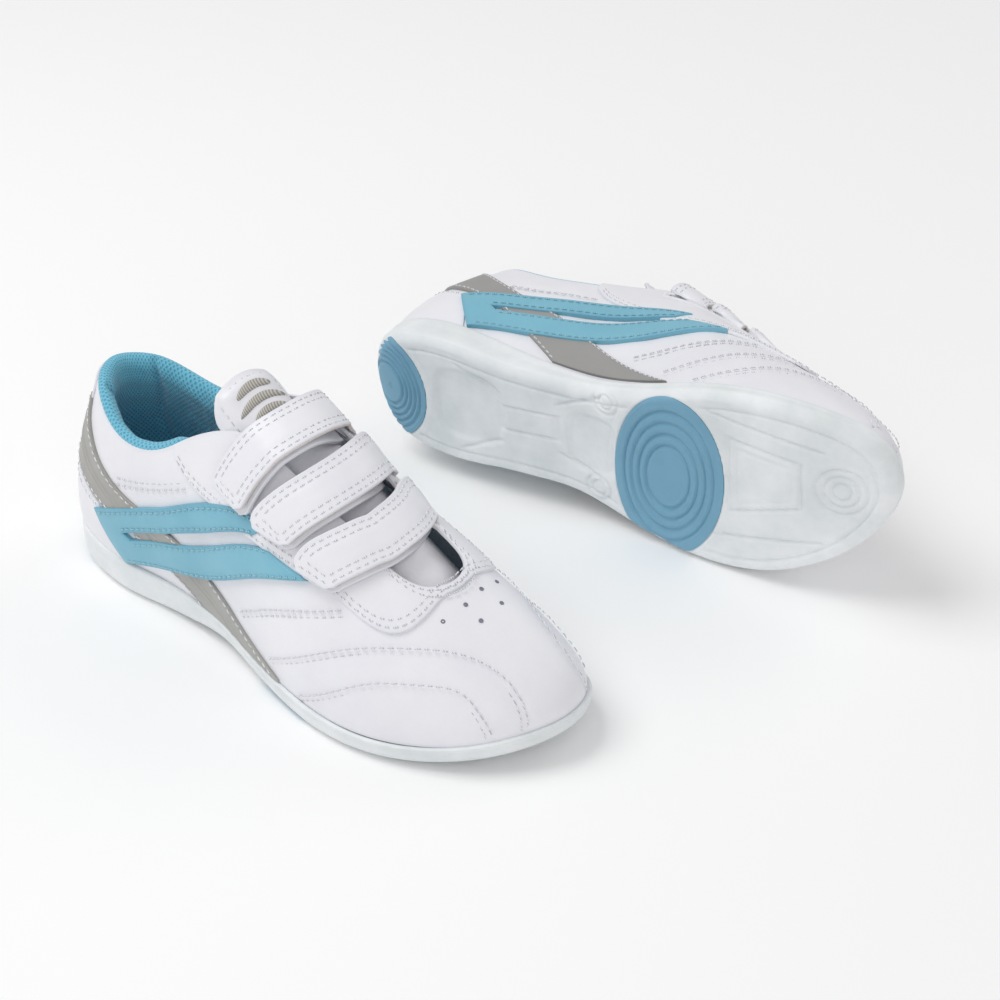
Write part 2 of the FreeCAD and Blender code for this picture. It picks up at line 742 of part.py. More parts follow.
def finish_pair():
    """Name the right shoe's pieces and mirror each of them for the left shoe."""
    made = []
    doc.recompute()
    for name, source in nodes.items():
        right = doc.addObject("Part::Compound", "right_" + name)
        right.Links = [source]
        right.Placement = right_placement()
        right.Label = "right_" + name
        mirrored = doc.addObject("Part::Mirroring", "mirrored_" + name)
        mirrored.Source = source
        mirrored.Normal = Vector(0, 1, 0)
        left = doc.addObject("Part::Compound", "left_" + name)
        left.Links = [mirrored]
        left.Placement = left_placement()
        left.Label = "left_" + name
        made += [right, left]
    doc.recompute()
    return made


def check_and_export(made):
    for item in doc.Objects:
        if "Invalid" in item.State or "Error" in item.State:
            raise RuntimeError("%s failed to compute" % item.Label)
    os.makedirs("parts", exist_ok=True)
    for item in made:
        shape = item.Shape
        if shape.isNull() or not shape.isValid() or not shape.Solids:
            raise RuntimeError("%s has no valid solid" % item.Label)
        if min(solid.Volume for solid in shape.Solids) <= 0:
            raise RuntimeError("%s is inside out" % item.Label)
    for item in made:
        item.Shape.exportStep("parts/%s.step" % item.Label)


make_sole()
make_upper()
make_inside()
make_tongue()
make_straps()
make_slot_frames()
check_and_export(finish_pair())
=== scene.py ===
"""A pair of low cheer shoes, dressed round the CAD frame.

Shoe coordinates are millimetres: X from the heel back to the toe, Y to the inner side, Z up.
The upper is one smooth surface: "turn" counts the stations round the shoe (heel, outer side,
toe, inner side) and "rise" runs from the feather line on the sole (0) to the opening (1).
"""

import logging
import math
from dataclasses import dataclass
from enum import Enum
from typing import Callable, Optional, Sequence

import bpy
import numpy as np
from mathutils import Matrix, Vector


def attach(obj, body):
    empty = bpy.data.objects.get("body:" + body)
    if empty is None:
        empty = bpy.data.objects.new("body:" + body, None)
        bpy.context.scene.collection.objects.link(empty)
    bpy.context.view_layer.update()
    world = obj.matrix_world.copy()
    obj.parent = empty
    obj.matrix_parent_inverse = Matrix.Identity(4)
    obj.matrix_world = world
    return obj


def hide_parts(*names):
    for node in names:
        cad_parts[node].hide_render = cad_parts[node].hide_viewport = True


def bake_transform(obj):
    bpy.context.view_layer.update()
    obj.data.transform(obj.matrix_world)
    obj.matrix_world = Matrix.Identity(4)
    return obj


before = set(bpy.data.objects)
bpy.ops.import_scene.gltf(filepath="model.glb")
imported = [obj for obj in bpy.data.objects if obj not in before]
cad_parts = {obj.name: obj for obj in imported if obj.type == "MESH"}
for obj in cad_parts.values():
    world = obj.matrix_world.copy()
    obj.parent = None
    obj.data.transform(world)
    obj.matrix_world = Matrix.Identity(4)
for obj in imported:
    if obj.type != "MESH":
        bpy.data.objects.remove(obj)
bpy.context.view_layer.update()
LOG = logging.getLogger("cheer_shoes")
Array = np.ndarray
Place = Callable[[Array, Array], tuple[Array, Array]]
Row = Sequence[tuple[float, float]]
MM = 0.001


class Side(Enum):
    """Which shoe of the pair."""

    RIGHT = "right"
    LEFT = "left"


# ------------------------------------------------------------------ small mathematics
def mix(low: Array | float, high: Array | float, part: Array | float) -> Array | float:
    """Value between low and high."""
    return low + (high - low) * part


def ease(part: Array | float) -> Array | float:
    """Smooth step from 0 to 1, flat outside."""
    part = np.clip(part, 0.0, 1.0)
    return part * part * (3 - 2 * part)


def hump(distance: Array, width: float) -> Array:
    """Bell of height 1 at distance 0."""
    return np.exp(-((distance / width) ** 2))


def unit(vectors: Array) -> Array:
    """Vectors scaled to length 1."""
    return vectors / np.maximum(np.linalg.norm(vectors, axis=-1, keepdims=True), 1e-12)


def ring_spline(values: Array) -> Callable[[Array], Array]:
    """Closed cubic spline through rows of values at 0, 1, 2 and so on.

    Args:
        values: One row for each station.

    Returns:
        Function from an array of turns to rows.
    """
    total = len(values)
    matrix = np.eye(total) * 4 + np.eye(total, k=1) + np.eye(total, k=-1)
    matrix[0, -1] = matrix[-1, 0] = 1.0
    second = np.roll(values, -1, 0) - 2 * values + np.roll(values, 1, 0)
    bend = np.linalg.solve(matrix, 6 * second)

    def at(turn: Array) -> Array:
        """Rows at these turns.

        Args:
            turn: Places around the shoe.

        Returns:
            The rows.
        """
        turn = np.mod(turn, total)
        low = turn.astype(int) % total
        high = (low + 1) % total
        part = (turn - np.floor(turn))[..., None]
        rest = 1 - part
        return (rest * values[low] + part * values[high]
                + ((rest ** 3 - rest) * bend[low] + (part ** 3 - part) * bend[high]) / 6)
    return at


def curve_through(points: Sequence[Sequence[float]]) -> Callable[[Array], Array]:
    """Natural cubic spline through points.

    Args:
        points: Rows of a place followed by one or more values.

    Returns:
        Function from an array of places to values, or to rows where there are several values.
    """
    table = np.array(points, float)
    places, values = table[:, 0], table[:, 1:]
    last = len(places) - 1
    gaps = np.diff(places)
    matrix = np.eye(last + 1)
    right = np.zeros_like(values)
    for index in range(1, last):
        before, after = gaps[index - 1], gaps[index]
        matrix[index, index - 1:index + 2] = before, 2 * (before + after), after
        right[index] = 6 * ((values[index + 1] - values[index]) / after
                            - (values[index] - values[index - 1]) / before)
    bend = np.linalg.solve(matrix, right)

    def at(place: Array) -> Array:
        """Values at these places.

        Args:
            place: Places along the curve.

        Returns:
            The values.
        """
        place = np.asarray(place, float)
        index = np.clip(np.searchsorted(places, place) - 1, 0, last - 1)
        width = (places[index + 1] - places[index])[..., None]
        part = (place - places[index])[..., None] / width
        rest = 1 - part
        found = (rest * values[index] + part * values[index + 1]
                 + ((rest ** 3 - rest) * bend[index] + (part ** 3 - part) * bend[index + 1])
                 * width * width / 6)
        return found if found.shape[-1] > 1 else found[..., 0]
    return at


def nearest(points: Array, targets: Array) -> Array:
    """Distance from each point to the closest target point.

    Args:
        points: Points to measure from.
        targets: Points to measure to.

    Returns:
        One distance for each point.
    """
    flat = points.reshape(-1, points.shape[-1])
    best = np.empty(len(flat))
    for start in range(0, len(flat), 4000):
        block = flat[start:start + 4000]
        square = ((block[:, None, :] - targets[None, :, :]) ** 2).sum(-1)
        best[start:start + 4000] = np.sqrt(square.min(1))
    return best.reshape(points.shape[:-1])


def ripple(points: Array, length: float, seed: float) -> Array:
    """Soft unevenness from -1 to 1 with waves of about this length in millimetres."""
    x, y, z = (points[..., axis] * (2 * math.pi / length) for axis in range(3))
    return (np.sin(x + 1.7 * np.sin(0.8 * y + seed) + seed)
            * np.cos(0.9 * y + 1.3 * np.sin(0.7 * z + 2 * seed)) * 0.6
            + 0.4 * np.sin(1.9 * z + 1.3 * x + 3 * seed))


# ------------------------------------------------------------------ the shoe's shape
STATIONS = [
    ((1.5, 0, 17), (6, 22), (13.5, 0, 88.5), (-4, 0, -24)),
    ((8, -18, 17), (5, 21), (17, -10, 87.5), (-4, -5, -23)),
    ((22, -27, 16.8), (5, 20), (26, -18.5, 84), (-3, -6, -21)),
    ((45, -31, 16.4), (4, 19), (38.5, -24.5, 78), (0, -6, -19)),
    ((68, -30, 15.8), (4, 18), (53, -26.5, 74.5), (2, -5, -18)),
    ((90, -30.5, 14.6), (3.5, 20), (68.5, -25, 78), (3, -6, -21)),
    ((108, -32.5, 12.8), (3, 22), (81, -20.5, 86), (4, -9, -24)),
    ((125, -37, 11.2), (2.5, 23), (94, -16.5, 93), (5, -11, -23)),
    ((145, -42, 10), (2, 23), (112, -15, 97.5), (6, -12, -21)),
    ((168, -46, 9.2), (1.5, 23), (132, -14.5, 91), (8, -14, -18)),
    ((190, -46, 9), (1, 23), (151, -13.5, 81), (10, -14, -15)),
    ((211, -40.5, 9.8), (1, 23), (166, -11.5, 72.5), (14, -11, -12)),
    ((231, -29.5, 12), (1, 22), (175.5, -7.5, 67.5), (20, -8, -10)),
    ((247, -14, 15.5), (1.5, 20), (180, -1.5, 65), (26, -4, -11)),
    ((256, 6, 18.5), (2, 18), (181, 4, 65), (30, 1, -12)),
    ((251, 25, 17), (1.5, 19), (179.5, 9.5, 66), (27, 6, -11)),
    ((236, 36, 13), (1, 21), (173.5, 13.5, 69), (20, 9, -11)),
    ((215, 41, 10.2), (1, 23), (162, 16.5, 75), (15, 11, -13)),
    ((193, 41.5, 9.4), (1.5, 23), (146, 17.5, 83.5), (11, 12, -16)),
    ((170, 37.5, 10), (2, 23), (128, 18, 92.5), (8, 11, -20)),
    ((148, 30.5, 11.5), (2.5, 23), (111, 18.5, 97.5), (6, 9, -23)),
    ((127, 24.5, 13.6), (3, 23), (96, 19.5, 93.5), (5, 8, -24)),
    ((108, 22.5, 15), (3.5, 22), (84, 22, 87), (3, 6, -24)),
    ((88, 23.5, 16), (4, 20), (70.5, 25, 80), (2, 5, -22)),
    ((66, 26.5, 16.5), (4, 19), (55, 26, 76.5), (1, 5, -20)),
    ((44, 29.5, 16.8), (4, 20), (39, 24, 79.5), (0, 6, -20)),
    ((22, 27, 17), (5, 20), (26, 18.5, 85), (-3, 6, -21)),
    ((8, 18, 17), (5, 21), (17, 10, 87.5), (-4, 5, -23)),
]
COUNT = len(STATIONS)
TOE = 14
CREST = [(92, 108.5), (112, 104), (128, 99), (142, 91.5), (157, 82), (170, 73.5), (183, 65)]
FEATHER_SIDE = [(-6, 17), (20, 17), (45, 16.6), (70, 16), (92, 14.8), (112, 12.9), (130, 11.2),
                (150, 9.9), (170, 9.3), (195, 9), (215, 10.1), (235, 13), (250, 16.7), (266, 21)]
TREAD_SIDE = [(-6, 11), (2, 6.8), (10, 3.2), (20, 0.8), (32, 0), (60, 0), (82, 1.4), (104, 3.6),
              (124, 3.4), (144, 1.2), (163, 0), (192, 0), (212, 1.2), (234, 4.4), (252, 9), (266, 14)]
OVERLAY_EDGE = [(5.6, 0.93), (6.1, 0.77), (7.0, 0.65), (8.1, 0.58), (9.4, 0.6), (10.2, 0.6),
                (10.9, 0.55), (11.7, 0.58), (12.9, 0.73), (14, 0.765), (15.1, 0.73), (16.3, 0.58),
                (17.1, 0.55), (17.8, 0.6), (18.6, 0.6), (19.9, 0.58), (21.0, 0.65), (21.9, 0.77),
                (22.4, 0.93)]
FORK_LOW = [(3.15, 0.02), (4.5, 0.19), (6.2, 0.315), (8.0, 0.45), (9.5, 0.6)]
FORK_HIGH = [(2.5, 0.33), (3.7, 0.53), (5.25, 0.665), (7.05, 0.68), (8.6, 0.68)]
SLOT_LOW = [(3.5, 0.272), (4.83, 0.417), (6.67, 0.5), (8.5, 0.593)]
SLOT_HIGH = [(3.34, 0.3), (4.95, 0.495), (6.35, 0.548), (8.1, 0.61)]
BAND_LOW = [(0.7, 0.56), (2.4, 0.42), (3.66, 0.32), (4.43, 0.18), (5.2, 0.02)]
BAND_HIGH = [(1.2, 0.9), (3.1, 0.64), (4.8, 0.48), (6.3, 0.24), (8.2, 0.02)]
# double rows of stitching on the forefoot, as (turn, rise) on the outer side
VAMP_ROWS = [
    [(7.1, 0.22), (8.84, 0.409), (10.32, 0.562)],
    [(7.97, 0.1), (10.01, 0.38), (11.49, 0.482), (12.51, 0.477), (13.05, 0.386), (13.2, 0.236),
     (13.15, 0.03)],
    [(8.76, 0.02), (10.28, 0.255), (11.31, 0.323), (12.09, 0.317), (12.4, 0.222), (12.56, 0.03)],
]
QUARTER_ROW = [(3.3, 0.655), (4.7, 0.76), (5.9, 0.765)]
VENTS = [(12.64, 0.637), (13.6, 0.698), (14.54, 0.708), (13.61, 0.617), (14.6, 0.62), (15.4, 0.64)]
DOME_MIDDLE = 2.0
THROAT_OUTER = (7.0, 13.9)
THROAT_INNER = (21.0, 14.1)
SOLE_RIM = 1.8

crest = curve_through(CREST)
feather_side = curve_through(FEATHER_SIDE)
tread_side = curve_through(TREAD_SIDE)


def control_rings() -> list[Callable[[Array], Array]]:
    """Splines of the four control curves between the feather line and the opening.

    Returns:
        The curves, from the lowest to the highest.
    """
    foot = np.array([row[0] for row in STATIONS], float)
    edge = np.array([row[2] for row in STATIONS], float)
    along = unit((np.roll(foot, -1, 0) - np.roll(foot, 1, 0)) * (1, 1, 0))
    outward = np.stack([along[:, 1], -along[:, 0], np.zeros(COUNT)], 1)
    low = np.array([row[1] for row in STATIONS], float)
    second = foot + outward * low[:, :1] + np.outer(low[:, 1], (0, 0, 1))
    third = edge + np.array([row[3] for row in STATIONS], float)
    return [ring_spline(ring) for ring in (foot, second, third, edge)]


RINGS = control_rings()


def upper(turn: Array, rise: Array) -> Array:
    """Points of the upper's outer surface.

    Args:
        turn: Place around the shoe, from the heel along the outer side.
        rise: Place from the feather line (0) to the opening (1).

    Returns:
        Points in shoe coordinates, in millimetres.
    """
    turn, rise = np.broadcast_arrays(np.asarray(turn, float), np.asarray(rise, float))
    part = rise[..., None]
    rest = 1 - part
    weights = (rest ** 3, 3 * rest * rest * part, 3 * rest * part * part, part ** 3)
    return sum(ring(turn) * weight for ring, weight in zip(RINGS, weights))


def upper_normal(turn: Array, rise: Array) -> Array:
    """Outward unit normals of the upper."""
    step = 0.01
    along = upper(np.add(turn, step), rise) - upper(np.subtract(turn, step), rise)
    above = upper(turn, np.add(rise, step)) - upper(turn, np.subtract(rise, step))
    return unit(np.cross(along, above))


def lifted(turn: Array, rise: Array, height: Array | float) -> Array:
    """Points a given height above the upper."""
    height = np.asarray(height, float)[..., None]
    return upper(turn, rise) + upper_normal(turn, rise) * height


def throat_edge(x: Array, turns: tuple[float, float]) -> Array:
    """Points of the throat's edge at x, on the side given by its range of turns.

    Args:
        x: Places along the shoe.
        turns: Range of turns that holds the edge.

    Returns:
        Points of the edge.
    """
    low = np.full(x.shape, turns[0])
    high = np.full(x.shape, turns[1])
    for _ in range(40):
        middle = (low + high) / 2
        short = upper(middle, 1.0)[..., 0] < x
        low = np.where(short, middle, low)
        high = np.where(short, high, middle)
    return upper((low + high) / 2, 1.0)


def place_at(x: Array, y: Array) -> tuple[Array, Array]:
    """Turn and rise of the upper's points at plan positions beside the throat.

    Args:
        x: Places along the shoe.
        y: Places across it.

    Returns:
        Turn and rise.
    """
    turn = np.where(y < DOME_MIDDLE, 5 + (x - 70) / 19, 23 - (x - 70) / 19)
    rise = np.full(x.shape, 0.85)
    step = 0.002
    for _ in range(40):
        here = upper(turn, rise)
        miss_x, miss_y = x - here[..., 0], y - here[..., 1]
        by_turn = (upper(turn + step, rise) - here) / step
        by_rise = (upper(turn, rise + step) - here) / step
        spread = by_turn[..., 0] * by_rise[..., 1] - by_rise[..., 0] * by_turn[..., 1]
        turn = turn + np.clip((miss_x * by_rise[..., 1] - by_rise[..., 0] * miss_y) / spread, -0.5, 0.5)
        rise = rise + np.clip((by_turn[..., 0] * miss_y - miss_x * by_turn[..., 1]) / spread, -0.1, 0.1)
    return turn, rise


def skin(x: Array, y: Array) -> Array:
    """Points of the upper at plan positions, with the throat bridged by a smooth dome.

    Args:
        x: Places along the shoe.
        y: Places across it.

    Returns:
        Points in shoe coordinates.
    """
    x, y = np.broadcast_arrays(np.asarray(x, float), np.asarray(y, float))
    outer, inner = throat_edge(x, THROAT_OUTER), throat_edge(x, THROAT_INNER)
    edge = np.where((y < DOME_MIDDLE)[..., None], outer, inner)
    part = (y - DOME_MIDDLE) / (edge[..., 1] - DOME_MIDDLE)
    dome = np.stack([x, y, crest(x) - (crest(x) - edge[..., 2]) * part * part], -1)
    over = (x < 180) & (np.abs(y - DOME_MIDDLE) <= np.abs(edge[..., 1] - DOME_MIDDLE))
    return np.where(over[..., None], dome, upper(*place_at(x, y)))


def outline(inset: float, count: int) -> Array:
    """Closed plan curve of the sole.

    Args:
        inset: Distance in from the sole's outer edge.
        count: Number of points.

    Returns:
        Plan points, evenly spaced in turn.
    """
    turn = np.arange(count) * COUNT / count
    here = upper(turn, 0.0)
    along = unit((upper(turn + 0.02, 0.0) - upper(turn - 0.02, 0.0))[:, :2])
    out = np.stack([along[:, 1], -along[:, 0]], 1)
    return here[:, :2] + out * (SOLE_RIM - inset)


# ------------------------------------------------------------------ placing the two shoes
@dataclass(frozen=True)
class Placing:
    """Where each shoe stands or lies, in millimetres and degrees."""

    pair: tuple[float, float] = (-151.48, -96.86)
    centre: float = 129.0
    left_yaw: float = 7.6
    left_pitch: float = -3.0
    left_roll: float = -86.0
    left_offset: tuple[float, float, float] = (48.9, 133.4, 45.77)

    def points(self, side: Side, points: Array) -> Array:
        """Row-frame points in metres of points in shoe coordinates.

        Args:
            side: The shoe.
            points: Points in its coordinates, in millimetres.

        Returns:
            The placed points.
        """
        shift = np.array([self.pair[0], self.pair[1], 0.0])
        if side is Side.RIGHT:
            return (points + shift) * MM
        turns = (Matrix.Rotation(math.radians(self.left_yaw), 3, "Z")
                 @ Matrix.Rotation(math.radians(self.left_pitch), 3, "Y")
                 @ Matrix.Rotation(math.radians(self.left_roll), 3, "X"))
        centre = np.array([self.centre, 0.0, 0.0])
        beside = (points * (1, -1, 1) - centre) @ np.array(turns).T
        return (beside + centre + np.array(self.left_offset) + shift) * MM


PLACING = Placing()


# ------------------------------------------------------------------ meshes
@dataclass
class Soup:
    """Vertices, faces and per-vertex values of one piece being made, in shoe coordinates."""

    points: Array
    faces: list[tuple[int, ...]]
    flat: Array
    rim: Array
    edge_faces: int = 0


def grid_faces(rows: int, columns: int, start: int = 0, closed: bool = False) -> list[tuple[int, ...]]:
    """Quads of a grid of points; closed joins the last row to the first.

    Args:
        rows: Rows of points.
        columns: Points in a row.
        start: Number of the first point.
        closed: Whether the last row joins the first.

    Returns:
        The faces.
    """
    faces = []
    for i in range(rows if closed else rows - 1):
        here, there = start + i * columns, start + ((i + 1) % rows) * columns
        for j in range(columns - 1):
            faces.append((here + j, there + j, there + j + 1, here + j + 1))
    return faces


def solid_from(top: Array, bottom: Array, flat: Array, rim: Array, keep: Optional[Array] = None) -> Soup:
    """Closed solid between two grids of points.

    Args:
        top: Grid of outer points.
        bottom: Grid of inner points.
        flat: Grid of cloth coordinates in millimetres.
        rim: Grid of nearness to the cut edge, 0 to 1.
        keep: Which of the grid's cells are filled; all of them if left out.

    Returns:
        The solid, with its edge walls last among the faces.
    """
    rows, columns = top.shape[:2]
    total = rows * columns
    upper_faces = grid_faces(rows, columns)
    if keep is not None:
        upper_faces = [face for face, kept in zip(upper_faces, keep.ravel()) if kept]
    border: dict[tuple[int, int], bool] = {}
    for face in upper_faces:
        for first, second in zip(face, face[1:] + face[:1]):
            if not border.pop((second, first), False):
                border[(first, second)] = True
    lower_faces = [tuple(index + total for index in reversed(face)) for face in upper_faces]
    walls = [(second, first, first + total, second + total) for first, second in border]
    points = np.concatenate([top.reshape(-1, 3), bottom.reshape(-1, 3)])
    both = np.concatenate([flat.reshape(-1, 2)] * 2)
    return Soup(points, upper_faces + lower_faces + walls, both,
                np.concatenate([rim.ravel()] * 2), len(walls))


def joined(soups: Sequence[Soup]) -> Soup:
    """Several solids as one piece.

    Args:
        soups: The solids.

    Returns:
        One soup that holds them all.
    """
    faces: list[tuple[int, ...]] = []
    start = 0
    for soup in soups:
        faces += [tuple(index + start for index in face) for face in soup.faces]
        start += len(soup.points)
    return Soup(np.concatenate([soup.points for soup in soups]), faces,
                np.concatenate([soup.flat for soup in soups]), np.concatenate([soup.rim for soup in soups]))


def plain(points: Array, faces: list[tuple[int, ...]]) -> Soup:
    """Piece whose finish needs no cloth coordinates."""
    return Soup(points, faces, points[:, :2].copy(), np.zeros(len(points)))


def graded(length: float, step: float, roll: float) -> Array:
    """Places from 0 to 1 along a length, closer together near both ends."""
    near = np.array([0, 0.13, 0.4, 0.75, 1.1]) * roll
    count = max(2, int(round((length - 2.6 * roll) / step)))
    middle = np.linspace(1.5 * roll, length - 1.5 * roll, count)
    return np.concatenate([near, middle, length - near[::-1]]) / length


# ------------------------------------------------------------------ finishes
def linear(colour: str) -> tuple[float, float, float, float]:
    """Linear colour of an sRGB hex value."""
    parts = [int(colour[index:index + 2], 16) / 255 for index in (1, 3, 5)]
    return (*((part / 12.92 if part <= 0.04045 else ((part + 0.055) / 1.055) ** 2.4) for part in parts), 1.0)


def add_node(tree: bpy.types.NodeTree, kind: str, inputs: Optional[dict] = None,
             **settings: object) -> bpy.types.Node:
    """Adds a node, sets it and joins it up.

    Args:
        tree: Node tree to add to.
        kind: Node type.
        inputs: Input name or number to a value or to another node's output.
        settings: Properties of the node.

    Returns:
        The new node.
    """
    node = tree.nodes.new(kind)
    for key, value in settings.items():
        setattr(node, key, value)
    for key, value in (inputs or {}).items():
        if isinstance(value, bpy.types.NodeSocket):
            tree.links.new(value, node.inputs[key])
        else:
            node.inputs[key].default_value = value
    return node


@dataclass(frozen=True)
class Finish:
    """A surface finish. Subclasses draw its pattern."""

    name: str
    colour: str
    roughness: float
    ior: float = 1.5

    def pattern(self, tree: bpy.types.NodeTree, shader: bpy.types.Node) -> None:
        """Draws the finish's own pattern into the shader."""

    def material(self) -> bpy.types.Material:
        """The finish as a material, made once.

        Returns:
            The material.
        """
        found = bpy.data.materials.get(self.name)
        if found:
            return found
        made = bpy.data.materials.new(self.name)
        made.use_nodes = True
        tree = made.node_tree
        shader = tree.nodes["Principled BSDF"]
        shader.inputs["Base Color"].default_value = linear(self.colour)
        shader.inputs["Roughness"].default_value = self.roughness
        shader.inputs["IOR"].default_value = self.ior
        self.pattern(tree, shader)
        return made

    def blotched(self, tree: bpy.types.NodeTree, shader: bpy.types.Node, patch: float, shade: str,
                 low: float, high: float) -> None:
        """Uneven colour in soft patches of this size in millimetres, from the colour to a shade.

        Args:
            tree: The material's nodes.
            shader: Its shader.
            patch: Size of the patches.
            shade: The darker colour.
            low: Noise value where the shade begins.
            high: Noise value where it is full.
        """
        where = add_node(tree, "ShaderNodeTexCoord")
        noise = add_node(tree, "ShaderNodeTexNoise", {
            "Vector": where.outputs["Object"], "Scale": 1 / (patch * MM), "Detail": 5.0, "Roughness": 0.6})
        part = add_node(tree, "ShaderNodeMapRange", {
            "Value": noise.outputs["Fac"], "From Min": 0.3, "From Max": 0.7, "To Min": low, "To Max": high})
        blend = add_node(tree, "ShaderNodeMix", {
            "Factor": part.outputs["Result"], 6: linear(self.colour), 7: linear(shade)}, data_type="RGBA")
        tree.links.new(blend.outputs[2], shader.inputs["Base Color"])


@dataclass(frozen=True)
class CoatedLeather(Finish):
    """Split leather with a sprayed polyurethane face, embossed with a fine pebble grain.

    The coat gives a soft even gloss, and the grain breaks it up; cut edges and panel borders are darkened
    with painted edge shade together with edge wear.
    """

    shade: str = "#D9DAE2"
    grain: float = 1.1
    depth: float = 0.05
    metallic: float = 0.0

    def pattern(self, tree: bpy.types.NodeTree, shader: bpy.types.Node) -> None:
        """Pebble grain, long soft creases, patchy tone and a darker cut edge.

        Args:
            tree: The material's nodes.
            shader: Its shader.
        """
        shader.inputs["Metallic"].default_value = self.metallic
        shader.inputs["Coat Weight"].default_value = 0.12
        shader.inputs["Coat Roughness"].default_value = 0.35
        where = add_node(tree, "ShaderNodeTexCoord")
        noise = add_node(tree, "ShaderNodeTexNoise", {
            "Vector": where.outputs["Object"], "Scale": 1 / (26 * MM), "Detail": 4.0, "Roughness": 0.55})
        rim = add_node(tree, "ShaderNodeAttribute", attribute_name="rim")
        # darkening near the cut edges: painted edge shade where panels meet, together with edge wear
        edge_wear_and_shade = add_node(tree, "ShaderNodeMath", {0: rim.outputs["Fac"], 1: 0.38}, operation="MULTIPLY")
        tone = add_node(tree, "ShaderNodeMapRange", {
            "Value": noise.outputs["Fac"], "From Min": 0.35, "From Max": 0.75, "To Min": 0.0, "To Max": 0.3})
        both = add_node(tree, "ShaderNodeMath", {0: edge_wear_and_shade.outputs[0], 1: tone.outputs["Result"]},
                        operation="ADD", use_clamp=True)
        blend = add_node(tree, "ShaderNodeMix", {
            "Factor": both.outputs[0], 6: linear(self.colour), 7: linear(self.shade)}, data_type="RGBA")
        tree.links.new(blend.outputs[2], shader.inputs["Base Color"])
        cells = add_node(tree, "ShaderNodeTexVoronoi", {
            "Vector": where.outputs["Object"], "Scale": 1 / (self.grain * MM), "Randomness": 1.0},
            feature="SMOOTH_F1")
        cells.inputs["Smoothness"].default_value = 0.6
        creases = add_node(tree, "ShaderNodeTexNoise", {
            "Vector": where.outputs["Object"], "Scale": 1 / (7 * MM), "Detail": 3.0})
        first = add_node(tree, "ShaderNodeBump", {
            "Height": creases.outputs["Fac"], "Distance": 0.35 * MM, "Strength": 0.35})
        second = add_node(tree, "ShaderNodeBump", {
            "Height": cells.outputs["Distance"], "Distance": self.depth * MM, "Strength": 1.0,
            "Normal": first.outputs["Normal"]})
        tree.links.new(second.outputs["Normal"], shader.inputs["Normal"])
        gloss = add_node(tree, "ShaderNodeMapRange", {
            "Value": noise.outputs["Fac"], "From Min": 0.3, "From Max": 0.7,
            "To Min": self.roughness - 0.06, "To Max": self.roughness + 0.08})
        tree.links.new(gloss.outputs["Result"], shader.inputs["Roughness"])


@dataclass(frozen=True)
class KnitMesh(Finish):
    """Warp-knitted polyester mesh: small open cells between soft matt yarns."""

    shade: str = "#2F7F9E"
    cell: float = 2.1

    def pattern(self, tree: bpy.types.NodeTree, shader: bpy.types.Node) -> None:
        """Diamond lattice of open cells, drawn a little coarser than the real 1.6 mm so that it shows.

        Args:
            tree: The material's nodes.
            shader: Its shader.
        """
        shader.inputs["Sheen Weight"].default_value = 0.35
        shader.inputs["Sheen Roughness"].default_value = 0.5
        where = add_node(tree, "ShaderNodeUVMap", uv_map="flat")
        turned = add_node(tree, "ShaderNodeMapping", {
            "Vector": where.outputs["UV"], "Rotation": (0, 0, math.radians(45)),
            "Scale": (1 / self.cell, 1 / self.cell, 1)})
        cells = add_node(tree, "ShaderNodeTexVoronoi", {
            "Vector": turned.outputs["Vector"], "Scale": 1.0, "Randomness": 0.08}, voronoi_dimensions="2D")
        # the open cells are mixed towards the darker colour: painted shade in the mesh holes
        hole_shade_part = add_node(tree, "ShaderNodeMapRange", {
            "Value": cells.outputs["Distance"], "From Min": 0.16, "From Max": 0.42,
            "To Min": 0.75, "To Max": 0.0})
        object_place = add_node(tree, "ShaderNodeTexCoord")
        fuzz = add_node(tree, "ShaderNodeTexNoise", {
            "Vector": object_place.outputs["Object"], "Scale": 1 / (0.5 * MM), "Detail": 2.0})
        blend = add_node(tree, "ShaderNodeMix", {
            "Factor": hole_shade_part.outputs["Result"], 6: linear(self.colour), 7: linear(self.shade)},
            data_type="RGBA")
        tree.links.new(blend.outputs[2], shader.inputs["Base Color"])
        high = add_node(tree, "ShaderNodeMath", {0: cells.outputs["Distance"], 1: fuzz.outputs["Fac"]},
                        operation="ADD")
        bump = add_node(tree, "ShaderNodeBump", {
            "Height": high.outputs[0], "Distance": 0.5 * MM, "Strength": 0.8})
        tree.links.new(bump.outputs["Normal"], shader.inputs["Normal"])


@dataclass(frozen=True)
class MouldedRubber(Finish):
    """Injection-moulded rubber: a matt spark-eroded face with a faint cloudiness inside."""

    shade: str = "#C9D2D3"
    glow: float = 0.08

    def pattern(self, tree: bpy.types.NodeTree, shader: bpy.types.Node) -> None:
        """Cloudy tone and a fine even grit, drawn at 0.5 mm so that it shows.

        Args:
            tree: The material's nodes.
            shader: Its shader.
        """
        shader.inputs["Subsurface Weight"].default_value = self.glow
        shader.inputs["Subsurface Radius"].default_value = (0.004, 0.004, 0.004)
        self.blotched(tree, shader, 22.0, self.shade, 0.0, 0.55)
        where = add_node(tree, "ShaderNodeTexCoord")
        grit = add_node(tree, "ShaderNodeTexNoise", {
            "Vector": where.outputs["Object"], "Scale": 1 / (0.5 * MM), "Detail": 2.0})
        bump = add_node(tree, "ShaderNodeBump", {
            "Height": grit.outputs["Fac"], "Distance": 0.12 * MM, "Strength": 0.5})
        tree.links.new(bump.outputs["Normal"], shader.inputs["Normal"])


